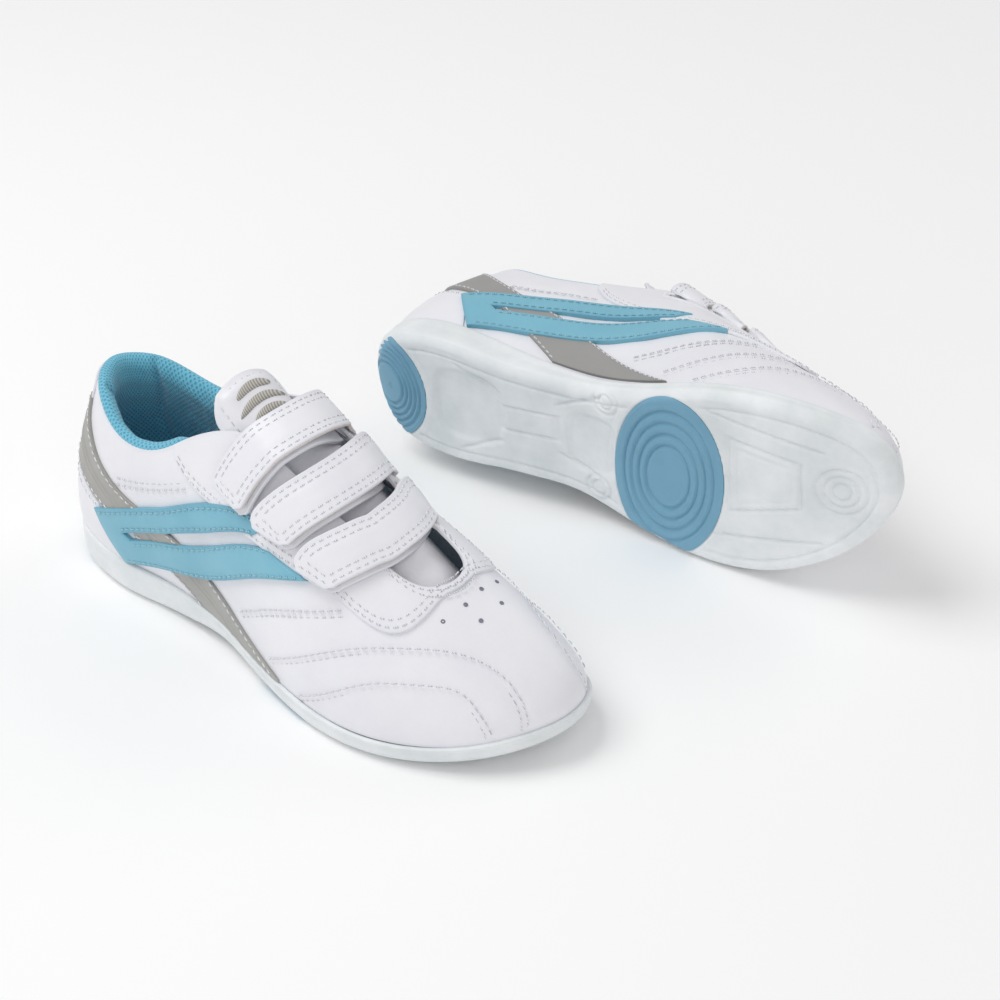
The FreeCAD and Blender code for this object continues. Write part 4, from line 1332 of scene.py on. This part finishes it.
# ------------------------------------------------------------------ the straps
@dataclass(frozen=True)
class Strap:
    """One strap: a base layer through its slot and a top layer folded back over it."""

    number: int
    crest_x: float
    lean: float
    outer_end: float
    lift: float
    width: float = 20.5
    thick: float = 1.7
    bend: float = 8.5
    slot_y: float = 21.0
    throat_y: float = -16.0
    base_height: float = 2.4
    top_height: float = 5.4
    fold_height: float = 4.0
    slot_width: float = 5.6
    slot_length: float = 27.0

    def above(self, y: Array, height: Array | float) -> Array:
        """Points above the shoe on the strap's centre line.

        Args:
            y: Places across the shoe.
            height: Height above its skin.

        Returns:
            Points in shoe coordinates.
        """
        y = np.asarray(y, float)
        step = 1.2
        x = self.crest_x + self.lean * y + self.bend * np.clip(1 - ((y + 4) / 23) ** 2, 0, 1)
        low = skin(x - self.lean * step, y - step)
        high = skin(x + self.lean * step, y + step)
        lengthwise = skin(x + step, y) - skin(x - step, y)
        out = unit(np.cross(lengthwise, high - low))
        return skin(x, y) + out * np.asarray(height, float)[..., None]

    def down(self) -> Array:
        """Width direction: down the instep, square to the centre line."""
        slope = (crest(self.crest_x + 6) - crest(self.crest_x - 6)) / 12
        along = unit(np.array([self.lean, 1.0, 0.0]))
        down = np.array([1.0, 0.0, float(slope)])
        return unit(down - along * (down @ along))

    def slot_scale(self) -> tuple[float, float]:
        """Millimetres per unit of turn and of rise at the slot."""
        turn, rise = self.slot_middle()
        per_turn = np.linalg.norm(upper(turn + 0.5, rise) - upper(turn - 0.5, rise))
        per_rise = np.linalg.norm(upper(turn, rise + 0.05) - upper(turn, rise - 0.05)) * 10
        return float(per_turn), float(per_rise)

    def slot_middle(self) -> tuple[Array, Array]:
        """Turn and rise of the slot's middle."""
        return place_at(np.array(self.crest_x + self.lean * self.slot_y), np.array(self.slot_y))

    def slot_window(self) -> tuple[float, float, float, float]:
        """Middle and half sizes of the slot in turn and rise."""
        turn, rise = self.slot_middle()
        per_turn, per_rise = self.slot_scale()
        return (float(turn), float(rise), self.slot_length / 2 / per_turn, self.slot_width / 2 / per_rise)

    def ribbon(self, centres: Array, width: float, thick: float, corner: float = 5.0,
               shift: float = 0.0) -> tuple[Soup, Array, Array]:
        """Webbing along a centre line, with rolled edges and a rounded first end.

        Args:
            centres: Points of the centre line.
            width: Width of the strap.
            thick: Its thickness.
            corner: Radius of the corners at the first end.
            shift: Sideways shift down the instep.

        Returns:
            The strap, its grid of upper points and its grid of outward directions.
        """
        reach = np.concatenate([[0], np.cumsum(np.linalg.norm(np.diff(centres, axis=0), axis=-1))])
        where = graded(reach[-1], 1.3, 0.6) * reach[-1]
        centre = np.stack([np.interp(where, reach, centres[:, axis]) for axis in range(3)], -1)
        for _ in range(3):
            centre[1:-1] = (centre[:-2] + 2 * centre[1:-1] + centre[2:]) / 4
        across = graded(width, 1.3, 0.6) - 0.5
        along = unit(np.gradient(centre, axis=0))
        lean = self.down()
        out = unit(np.cross(lean, along))
        side = unit(np.cross(along, out))
        narrow = np.clip(1 - where / corner, 0, 1)
        half = (width - 2 * corner * (1 - np.sqrt(1 - narrow ** 2)))[:, None]
        offset = across[None, :] * half + shift
        inward = np.minimum(np.minimum(where, reach[-1] - where)[:, None],
                            (0.5 - np.abs(across))[None, :] * half)
        part = np.clip(inward / 0.8, 0, 1)
        rows = hump(inward - 2.4, 0.8) + hump(inward - 5.0, 0.8)
        grid = centre[:, None, :] + side[:, None, :] * offset[..., None]
        high = thick / 2 - 0.6 * (1 - np.sqrt(1 - (1 - part) ** 2)) + 0.35 * ease(inward / 8) - 0.22 * rows
        high = high + 0.1 * ripple(grid, 19, self.number * 1.1)
        outward = np.repeat(out[:, None, :], grid.shape[1], 1)
        top = grid + outward * high[..., None]
        bottom = grid - outward * (thick / 2)
        flat = np.stack(np.broadcast_arrays(where[:, None], across[None, :] * width), -1)
        return solid_from(top, bottom, flat, hump(inward, 1.0)), top, outward

    def top_line(self) -> Array:
        """Centre line of the top layer, from its outer end to the fold and down into the slot.

        Returns:
            Points of the line.
        """
        y = np.linspace(self.outer_end, self.slot_y - 2.4, 50)
        height = mix(self.top_height + self.lift, self.fold_height + 0.4,
                     ease((y - self.throat_y) / (self.slot_y - 2 - self.throat_y)))
        turn = np.linspace(0.2, 1, 8)
        fold_y = self.slot_y - 2.4 + 3.4 * np.sin(turn * math.pi / 2)
        fold_high = 2.2 + 2.2 * np.cos(turn * math.pi / 2)
        tail = self.above(np.full(3, self.slot_y - 0.6), np.array([0.9, -0.4, -1.6]))
        return np.concatenate([self.above(y, height), self.above(fold_y, fold_high), tail])

    def base_line(self) -> Array:
        """Centre line of the base layer, from its outer end across the tongue to the slot."""
        y = np.linspace(self.outer_end - 0.6, self.slot_y - 1.6, 60)
        outer = self.base_height + self.lift + 0.3
        under = mix(outer, -2.6, ease((y - self.throat_y - 8) / (15 - self.throat_y - 8)))
        return self.above(y, under)

    def tape_line(self, height: float) -> Array:
        """Centre line of a patch of hook or loop tape."""
        y = np.linspace(self.outer_end + 4, self.throat_y, 20)
        return self.above(y, np.full(20, height + self.lift))

    def make(self, side: Side) -> tuple[Soup, Soup]:
        """Makes the top layer with its stitching and hook tape.

        Args:
            side: The shoe.

        Returns:
            The base layer and the loop tape, which are joined with those of the other straps.
        """
        flap = "%s_strap_%d_top" % (side.value, self.number)
        soup, top, outward = self.ribbon(self.top_line(), self.width, self.thick)
        pivot = self.above(np.array([self.slot_y - 0.5, self.slot_y - 9.0]), np.array([4.0, 4.6]))
        start, end = PLACING.points(side, pivot)
        leather = build_piece(side, "strap_%d_leather" % self.number, soup, Look.WHITE_LEATHER,
                              Look.RAW_EDGE)
        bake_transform(leather)
        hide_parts("%s_strap_%d" % (side.value, self.number))
        stitches = build_piece(side, "strap_%d_stitches" % self.number,
                               joined(self.stitches(top, outward)), Look.THREAD)
        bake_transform(stitches)
        hook = self.ribbon(self.tape_line(4.2), 15.5, 0.5, 2.0)[0]
        tape = build_piece(side, "hook_patch_%d" % self.number, hook, Look.TAPE)
        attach(tape, flap)
        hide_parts("%s_hook_tape_%d" % (side.value, self.number))
        base = self.ribbon(self.base_line(), self.width - 0.6, 1.4, 5.0, 2.0)[0]
        loop = self.ribbon(self.tape_line(3.6), 15.5, 0.5, 2.0)[0]
        return base, loop

    @staticmethod
    def stitches(top: Array, outward: Array) -> list[Soup]:
        """Double rows of stitches along both edges and across the outer end.

        Args:
            top: Grid of the strap's upper points.
            outward: Directions away from it.

        Returns:
            The stitches.
        """
        rows, columns = top.shape[:2]
        reach = np.cumsum(np.linalg.norm(np.diff(top[:, columns // 2], axis=0,
                                                 prepend=top[:1, columns // 2]), axis=-1))
        width = np.linalg.norm(top[rows // 2, -1] - top[rows // 2, 0])
        made = []
        for inset in (2.4, 5.0):
            first = int(np.searchsorted(reach, inset + 1.2))
            place = inset / width * np.ones(rows)
            for edge in (place, 1 - place):
                spans = np.linalg.norm(np.diff(top[rows // 2], axis=0), axis=-1)
                steps = np.concatenate([[0], np.cumsum(spans)]) / spans.sum()
                index = np.interp(edge, steps, np.arange(columns))
                low = np.minimum(index.astype(int), columns - 2)
                part = (index - low)[:, None]
                line = mix(top[np.arange(rows), low], top[np.arange(rows), low + 1], part)
                stop = int(np.searchsorted(reach, reach[-1] - 5.5))
                made += STITCH.soups(line[first:stop], outward[first:stop, 0])
            row = int(np.searchsorted(reach, inset))
            skip = int(np.searchsorted(steps, inset / width))
            made += STITCH.soups(top[row, skip:columns - skip], outward[row, skip:columns - skip])
        return made


STRAPS = [Strap(1, 118.0, 0.20, -25.5, 1.6), Strap(2, 142.0, 0.13, -29.0, 0.6),
          Strap(3, 164.8, 0.11, -31.0, 0.4)]


def make_straps(side: Side) -> None:
    """All straps of one shoe, with their base layers and loop tapes.

    Args:
        side: The shoe.
    """
    parts = [strap.make(side) for strap in STRAPS]
    for name, look, node, soups in (
            ("strap_base_layers", Look.WHITE_LEATHER, "strap_bases", [part[0] for part in parts]),
            ("loop_patches", Look.TAPE, "loop_tapes", [part[1] for part in parts])):
        made = build_piece(side, name, joined(soups), look)
        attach(made, side.value + "_shoe")
        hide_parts("%s_%s" % (side.value, node))


# ------------------------------------------------------------------ the tongue
@dataclass(frozen=True)
class Tongue:
    """Padded tongue with a bound edge and a plain stitched emblem of three bars."""

    back: float = 90.0
    front: float = 197.0
    fall: float = 0.024
    depth: float = 8.2
    hinge_x: float = 184.0

    def point(self, x: Array, part: Array, depth: Array) -> Array:
        """Points of the tongue; part runs from its outer edge (-1) to its inner edge (1).

        Args:
            x: Places along the shoe.
            part: Place across the tongue.
            depth: Depth below the instep's crest.

        Returns:
            Points in shoe coordinates.
        """
        taper = np.clip((x - self.back) / 7.0, 0, 1)
        half = mix(21.5, 18.5, np.clip((186 - x) / 14, 0, 1)) * np.sqrt(1 - (1 - taper) ** 2.4 * 0.5)
        y = DOME_MIDDLE + part * half
        ridge = np.where(x > 183, crest(183.0) - 0.62 * (x - 183), crest(np.clip(x, 92, 183)))
        rear = 7.5 * np.clip((114 - x) / 20, 0, 1.3) ** 1.7
        near = 2.8 * ease((x - 150) / 24)
        z = ridge - self.fall * (y - DOME_MIDDLE) ** 2 - depth + rear + near
        return np.stack([x + 0 * y, y, z], -1)

    def puff(self, x: Array, part: Array) -> Array:
        """Height of the padding above the tongue's flat middle."""
        edge = np.minimum(1 - np.abs(part), np.clip((x - self.back) / 14, 0, 1))
        crown = 2.4 * ease(edge / 0.45)
        seam = 0.9 * hump(edge - 0.2, 0.035)
        return crown - seam

    def make(self, side: Side) -> None:
        """Makes the tongue and its emblem.

        Args:
            side: The shoe.
        """
        body, flap = side.value + "_shoe", side.value + "_tongue_flap"
        x = self.back + graded(self.front - self.back, 1.2, 0.8) * (self.front - self.back)
        part = graded(34, 0.9, 0.6) * 2 - 1
        grid_x, grid_part = np.meshgrid(x, part, indexing="ij")
        edge = np.minimum((1 - np.abs(grid_part)) * 15, grid_x - self.back)
        swell = self.puff(grid_x, grid_part)
        soft = 0.22 * ripple(self.point(grid_x, grid_part, 0 * grid_x), 16, 0.7) * ease(edge / 4)
        roll = 1.2 * (1 - np.sqrt(1 - (1 - np.clip(edge / 1.4, 0, 1)) ** 2))
        top = self.point(grid_x, grid_part, self.depth - swell - soft + roll)
        bottom = self.point(grid_x, grid_part, self.depth + 2.6 + 0.6 * swell - 0.5 * roll)
        flat = np.stack([grid_x, grid_part * 15], -1)
        pivot = np.array([[self.hinge_x + 3, DOME_MIDDLE, 56.0], [self.hinge_x - 9, DOME_MIDDLE, 61.0]])
        start, end = PLACING.points(side, pivot)
        pad = build_piece(side, "tongue_padding", solid_from(top, bottom, flat, hump(edge, 1.2)),
                          Look.WHITE_LEATHER, crisp=60)
        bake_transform(pad)
        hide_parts(side.value + "_tongue")
        bars = []
        for middle, half in ((97.2, 0.5), (102.2, 0.66), (107.2, 0.5)):
            bars.append(self.bar(middle, half))
        emblem = build_piece(side, "tongue_emblem", joined(bars), Look.EMBROIDERY)
        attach(emblem, flap)
        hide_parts(side.value + "_tongue_motif")
        rows = [self.seam(sign) for sign in (-1, 1)] + [self.top_seam()]
        made = [soup for line in rows
                for soup in STITCH.soups(line, np.tile((0.2, 0.0, 1.0), (len(line), 1)))]
        seam = build_piece(side, "tongue_stitches", joined(made), Look.THREAD)
        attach(seam, flap)

    def surface(self, x: Array, part: Array, lift: float) -> Array:
        """Points on the padded face."""
        return self.point(x, part, self.depth - self.puff(x, part) - lift)

    def bar(self, middle: float, half: float) -> Soup:
        """One softly bowed bar of satin stitch.

        Args:
            middle: Place along the shoe.
            half: Half its length, as a share of the tongue's half width.

        Returns:
            The bar.
        """
        u, v = np.meshgrid(np.linspace(-1, 1, 40), np.linspace(-1, 1, 9), indexing="ij")
        thick = 1.5 * np.sqrt(np.clip(1 - np.abs(u) ** 3, 0.02, 1))
        x = middle + thick * v + 0.8 * u ** 2
        part = half * u
        crown = 0.75 * np.sqrt(1 - 0.97 * v ** 2)
        top = self.surface(x, part, 0.1) + np.array([0, 0, 1]) * crown[..., None]
        bottom = self.surface(x, part, -0.3)
        return solid_from(top, bottom, np.stack([x, part], -1), np.zeros(u.shape))

    def seam(self, sign: int) -> Array:
        """Side seam of the padding."""
        x = np.linspace(self.back + 4, 176, 200)
        return self.surface(x, np.full(200, sign * 0.8), 0.15)

    def top_seam(self) -> Array:
        """Seam across the tongue's free end."""
        part = np.linspace(-0.74, 0.74, 60)
        return self.surface(np.full(60, self.back + 3.0), part, 0.15)


# ------------------------------------------------------------------ the sole
@dataclass(frozen=True)
class TreadPad:
    """A coloured oval tread pad with concentric grooves."""

    name: str
    centre: tuple[float, float]
    across: float
    along: float
    turn: float
    rings: int

    def local(self, plan: Array) -> Array:
        """Plan points in the pad's own axes, scaled so that its edge is at radius 1.

        Args:
            plan: Plan points of the sole.

        Returns:
            The scaled points.
        """
        angle = math.radians(self.turn)
        moved = plan - np.array(self.centre)
        first = moved[..., 0] * math.cos(angle) + moved[..., 1] * math.sin(angle)
        second = -moved[..., 0] * math.sin(angle) + moved[..., 1] * math.cos(angle)
        return np.stack([first / self.across, second / self.along], -1)

    def plan(self, radius: Array, angle: Array) -> Array:
        """Plan points at a radius share and an angle.

        Args:
            radius: Share of the pad's radius.
            angle: Angle about its centre.

        Returns:
            Plan points of the sole.
        """
        turn = math.radians(self.turn)
        first = radius * np.cos(angle) * self.across
        second = radius * np.sin(angle) * self.along
        return np.stack([self.centre[0] + first * math.cos(turn) - second * math.sin(turn),
                         self.centre[1] + first * math.sin(turn) + second * math.cos(turn)], -1)


HEEL_PAD = TreadPad("heel_pad", (11.0, -1.0), 27.0, 22.0, 90.0, 5)
FORE_PAD = TreadPad("forefoot_pad", (157.0, -8.0), 42.0, 27.0, 81.0, 4)


@dataclass
class Sole:
    """Cupped rubber sole with its relief, two tread pads and the insock."""

    side: Side
    wall: float = 3.4
    floor: float = 4.6
    bevel: float = 5.0
    bevel_rise: float = 3.6
    around: int = 720
    across: int = 58

    def edge_distance(self, plan: Array) -> Array:
        """Distance of plan points from the sole's outer edge."""
        return nearest(plan, outline(0.0, 700))

    def bottom(self, plan: Array, distance: Array) -> Array:
        """Height of the tread before its relief."""
        part = np.clip(1 - distance / self.bevel, 0, 1)
        return tread_side(plan[..., 0]) + self.bevel_rise * part ** 2.2

    def relief(self, plan: Array, distance: Array) -> Array:
        """Depth of the moulded grooves, recesses and ribs of the tread.

        Args:
            plan: Plan points of the sole.
            distance: Their distance from its edge.

        Returns:
            How far each point lies above the plain tread.
        """
        x, y = plan[..., 0], plan[..., 1]
        depth = 0.9 * hump(distance - 7.2, 0.7)
        for pad in (HEEL_PAD, FORE_PAD):
            radius = np.linalg.norm(pad.local(plan), axis=-1)
            reach = (radius - 1) * min(pad.across, pad.along)
            depth = depth * ease((reach - 1.5) / 1.5) + 1.5 * ease((0.6 - reach) / 1.2)
            depth = depth + 0.4 * hump(reach - 4.6, 0.5) * (distance > 7.5)
        heel = self.recess(plan, (56, 0), (19, 20), 0.55, 3.5)
        waist = self.recess(plan, (118, -5), (13.5, 17), 0.5, 3.0)
        depth = depth + heel * 1.7 + waist * 1.5
        frame_part = np.maximum(np.abs(x - 87) / 13.5, np.abs(y + 1) / 6.2)
        depth = depth + 1.1 * hump((frame_part - 1) * 6.2, 0.8) * (distance > 3)
        ribs = hump(np.abs(y + 1) - 7 - np.abs(x - 87) * 0.42, 1.0) * ease((np.abs(x - 87) - 12) / 3)
        depth = depth + 1.2 * ribs * ease((40 - np.abs(x - 87)) / 6)
        for place in ((126.0, 20.0), (120.0, -27.0)):
            ring = np.hypot(x - place[0], y - place[1])
            depth = depth + 0.9 * hump(ring - 6.0, 0.7) + 0.9 * hump(ring - 3.4, 0.6)
        toe = np.hypot(x - 236, y - 6)
        for radius in (4.0, 7.5, 11.0):
            depth = depth + 0.9 * hump(toe - radius, 0.7) * (distance > 4)
        taper = (x - 186) / 34
        edge = np.abs(y - 3 - 0.06 * (x - 186)) - mix(19.0, 11.0, np.clip(taper, 0, 1))
        box = np.maximum(edge, np.abs(x - 203) - 16)
        depth = depth + 1.1 * hump(box, 0.8) + 0.5 * hump(box + 4, 0.7)
        for sign in (-1, 1):
            groove = np.abs(y - 1 - sign * mix(31.0, 22.0, np.clip((x - 180) / 55, 0, 1)))
            depth = depth + 1.1 * hump(groove, 0.8) * ease((x - 176) / 6) * ease((232 - x) / 6)
        return depth * ease((distance - 1.0) / 3)

    @staticmethod
    def recess(plan: Array, centre: tuple[float, float], half: tuple[float, float], power: float,
               slope: float) -> Array:
        """A shallow rounded hollow, 1 inside and 0 outside."""
        radius = (np.abs((plan[..., 0] - centre[0]) / half[0]) ** (2 / power)
                  + np.abs((plan[..., 1] - centre[1]) / half[1]) ** (2 / power)) ** (power / 2)
        return ease((1 - radius) * min(half) / slope)

    def make_outsole(self) -> None:
        """The white rubber cup with its tread."""
        edge = outline(0.0, self.around)
        share = 1 - (1 - np.linspace(0, 1, self.across)) ** 1.25
        spine = np.stack([np.clip(edge[:, 0], 24, 232), np.full(self.around, 1.0)], 1)
        spine[:, 1] += np.clip((spine[:, 0] - 120) / 110, -1, 1) * 2
        reach = np.linalg.norm(edge - spine, axis=1)
        last = 1 - self.bevel * 0.1 / reach
        plan = spine[:, None] + (edge - spine)[:, None] * (share[None, :] * last[:, None])[..., None]
        distance = self.edge_distance(plan)
        z = np.maximum(self.bottom(plan, distance) + self.relief(plan, distance), 0.03)
        tread = np.concatenate([plan, z[..., None]], -1)
        feather = feather_side(edge[:, 0])
        low = self.bottom(edge, np.zeros(self.around))
        profile = []
        for inset, part, lift in ((0.12, 0.0, 0.15), (0.0, 0.0, 0.5), (0.0, 0.3, 0), (0.25, 0.5, 0),
                                  (0.25, 0.6, 0), (0.0, 0.72, 0), (-0.1, 0.9, 0), (0.05, 1.0, -0.25),
                                  (0.5, 1.0, 0.1), (1.2, 1.0, 0.15), (1.8, 1.0, -0.1), (1.9, 1.0, -1.2)):
            ring = outline(inset, self.around)
            profile.append(np.concatenate([ring, (mix(low, feather, part) + lift)[:, None]], 1))
        inner = outline(self.wall, self.around)
        profile.append(np.concatenate([inner, (feather - 1.6)[:, None]], 1))
        profile.append(np.concatenate([inner, (feather - self.floor)[:, None]], 1))
        inside = spine[:, None] + (inner - spine)[:, None] * np.linspace(0.9, 0, 12)[None, :, None]
        inside_z = feather_side(inside[..., 0]) - self.floor
        floor = np.concatenate([inside, inside_z[..., None]], -1)
        loop = np.concatenate([tread, np.stack(profile, 1), floor], 1)
        faces = [tuple(reversed(face)) for face in grid_faces(self.around, loop.shape[1], closed=True)]
        soup = plain(loop.reshape(-1, 3), faces)
        made = build_piece(self.side, "outsole_rubber", soup, Look.WHITE_RUBBER, crisp=50)
        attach(made, self.side.value + "_shoe")
        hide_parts(self.side.value + "_outsole")

    def make_pad(self, pad: TreadPad) -> None:
        """One coloured tread pad, trimmed by the sole's bevelled edge.

        Args:
            pad: The pad.
        """
        angle = np.arange(220) * 2 * math.pi / 220
        limit = np.ones(220)
        for share in np.linspace(1.0, 0.3, 71):
            plan = pad.plan(np.full(220, share), angle)
            out = ~self.inside(plan) | (self.edge_distance(plan) < 0.9)
            limit = np.where(out & (limit >= share - 1e-9), share - 0.01, limit)
        share = np.concatenate([np.linspace(0, 0.97, 60), [0.985, 1.0, 1.0]])
        plan = pad.plan(limit[:, None] * share[None, :], angle[:, None])
        distance = self.edge_distance(plan)
        radius = limit[:, None] * share[None, :]
        size = min(pad.across, pad.along)
        depth = np.zeros(radius.shape)
        for ring in range(pad.rings):
            depth = depth + 1.25 * hump((radius - 0.4 - 0.56 * ring / pad.rings) * size, 0.75)
        depth = depth + 0.5 * ease((share[None, :] - 0.965) / 0.035)
        z = self.bottom(plan, distance) - 0.25 + depth
        z[:, -1] = z[:, -2] + 1.6
        z = np.maximum(z, 0.0)
        points = np.concatenate([plan, z[..., None]], -1)
        cap = np.concatenate([pad.plan(limit[:, None] * np.array([[0.5, 0.0]]), angle[:, None]),
                              (z[:, -1:] + np.zeros((220, 2)))[..., None]], -1)
        loop = np.concatenate([points, cap], 1)
        faces = grid_faces(220, loop.shape[1], closed=True)
        faces = [tuple(reversed(face)) for face in faces]
        made = build_piece(self.side, pad.name + "_rubber", plain(loop.reshape(-1, 3), faces),
                           Look.BLUE_RUBBER, crisp=50)
        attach(made, self.side.value + "_shoe")
        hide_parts("%s_%s" % (self.side.value, pad.name))

    @staticmethod
    def inside(plan: Array) -> Array:
        """Whether plan points lie inside the sole's outline.

        Args:
            plan: Plan points of the sole.

        Returns:
            True inside.
        """
        ring = outline(0.0, 700)
        following = np.roll(ring, -1, 0)
        x, y = plan[:, 0, None], plan[:, 1, None]
        spans = (ring[None, :, 1] > y) != (following[None, :, 1] > y)
        slope = (following[:, 0] - ring[:, 0]) / np.where(following[:, 1] == ring[:, 1], 1e-9,
                                                         following[:, 1] - ring[:, 1])
        crossing = ring[None, :, 0] + (y - ring[None, :, 1]) * slope[None, :]
        return ((spans & (x < crossing)).sum(1) % 2) == 1

    def make_insock(self) -> None:
        """Mesh-covered insock, dished under the heel."""
        edge = outline(self.wall + 1.9, 260)
        spine = np.stack([np.clip(edge[:, 0], 24, 232), np.full(260, 1.0)], 1)
        share = np.array([1.0, 0.985, 0.95, 0.88, 0.78, 0.64, 0.5, 0.34, 0.18, 0.0])
        plan = spine[:, None] + (edge - spine)[:, None] * share[None, :, None]
        height = feather_side(plan[..., 0]) - self.floor + 4.4
        dish = 1.2 * ease((share[None, :] - 0.4) / 0.6) * ease((110 - plan[..., 0]) / 60)
        top = np.concatenate([plan, (height + dish - 0.9 * (share[None, :] > 0.99))[..., None]], -1)
        under = np.concatenate([plan, (height - 2.6)[..., None]], -1)
        loop = np.concatenate([top, under[:, ::-1]], 1)
        faces = grid_faces(260, loop.shape[1], closed=True)
        flat = loop[..., :2].reshape(-1, 2)
        closing = [tuple(reversed(face)) for face in faces]
        soup = Soup(loop.reshape(-1, 3), closing, flat, np.zeros(len(flat)))
        made = build_piece(self.side, "insock_cover", soup, Look.MESH_LINING, crisp=60)
        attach(made, self.side.value + "_shoe")
        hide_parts(self.side.value + "_insock")

    def make(self) -> None:
        """Builds the sole, its pads and the insock."""
        self.make_outsole()
        self.make_pad(HEEL_PAD)
        self.make_pad(FORE_PAD)
        self.make_insock()


# ------------------------------------------------------------------ the studio
@dataclass(frozen=True)
class Studio:
    """Pale floor, soft lights and the camera, in metres."""

    target: tuple[float, float, float] = (-0.0267, 0.0267, 0.0)
    back: tuple[float, float, float] = (0.5284, -0.6359, 0.5626)
    distance: float = 0.98848
    lens: float = 78.2
    sensor: float = 36.0

    def make_camera(self) -> None:
        """Camera at the pair's right front."""
        data = bpy.data.cameras.new("camera")
        data.lens = self.lens
        data.sensor_width = self.sensor
        camera = bpy.data.objects.new("camera", data)
        camera.location = Vector(self.target) + Vector(self.back) * self.distance
        camera.rotation_mode = "QUATERNION"
        camera.rotation_quaternion = (-Vector(self.back)).to_track_quat("-Z", "Y")
        bpy.context.scene.collection.objects.link(camera)
        bpy.context.scene.camera = camera

    @staticmethod
    def make_light(name: str, place: tuple[float, float, float], size: float, power: float) -> None:
        """Square area light turned to the pair.

        Args:
            name: Its name.
            place: Where it hangs, in metres.
            size: Side of its square, in metres.
            power: Its power in watts.
        """
        data = bpy.data.lights.new(name, "AREA")
        data.size = size
        data.energy = power
        light = bpy.data.objects.new(name, data)
        light.location = place
        light.rotation_mode = "QUATERNION"
        light.rotation_quaternion = (-Vector(place)).to_track_quat("-Z", "Y")
        bpy.context.scene.collection.objects.link(light)

    def make_floor(self) -> None:
        """Large pale floor."""
        reach = 4.0
        mesh = bpy.data.meshes.new("studio_floor")
        mesh.from_pydata([(-reach, -reach, 0), (reach, -reach, 0), (reach, reach, 0), (-reach, reach, 0)],
                         [], [(0, 1, 2, 3)])
        material = bpy.data.materials.new("studio_paper")
        material.use_nodes = True
        shader = material.node_tree.nodes["Principled BSDF"]
        shader.inputs["Base Color"].default_value = linear("#FDFDFD")
        shader.inputs["Roughness"].default_value = 0.9
        mesh.materials.append(material)
        floor = bpy.data.objects.new("studio_floor", mesh)
        bpy.context.scene.collection.objects.link(floor)

    def make(self) -> None:
        """Builds the studio."""
        self.make_camera()
        self.make_floor()
        self.make_light("key_light", (-0.7, -0.5, 1.5), 1.0, 13.0)
        self.make_light("front_light", (0.9, -1.3, 0.8), 1.4, 6.0)
        self.make_light("rim_light", (0.4, 1.5, 1.2), 1.2, 5.0)
        world = bpy.data.worlds.new("studio_air")
        world.use_nodes = True
        shade = world.node_tree.nodes["Background"]
        shade.inputs["Color"].default_value = linear("#FFFFFF")
        shade.inputs["Strength"].default_value = 0.47
        bpy.context.scene.world = world
        bpy.context.scene.view_settings.view_transform = "Standard"


def dress_hidden_parts() -> None:
    """Gives the CAD parts inside the shoes their own finishes."""
    looks = {"insole_board": Look.BOARD, "heel_counter": Look.COUNTER, "toe_puff": Look.COUNTER,
             "vamp_lining": Look.PALE_LINING}
    for side in Side:
        for name, look in looks.items():
            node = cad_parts["%s_%s" % (side.value, name)]
            node.data.materials.clear()
            node.data.materials.append(look.finish.material())


def main() -> None:
    """Builds both shoes and the studio."""
    logging.basicConfig(level=logging.INFO, format="%(message)s")
    Studio().make()
    for side in Side:
        Sole(side).make()
        Upper(side).make()
        make_straps(side)
        Tongue().make(side)
    dress_hidden_parts()


if __name__ == "__main__":
    main()
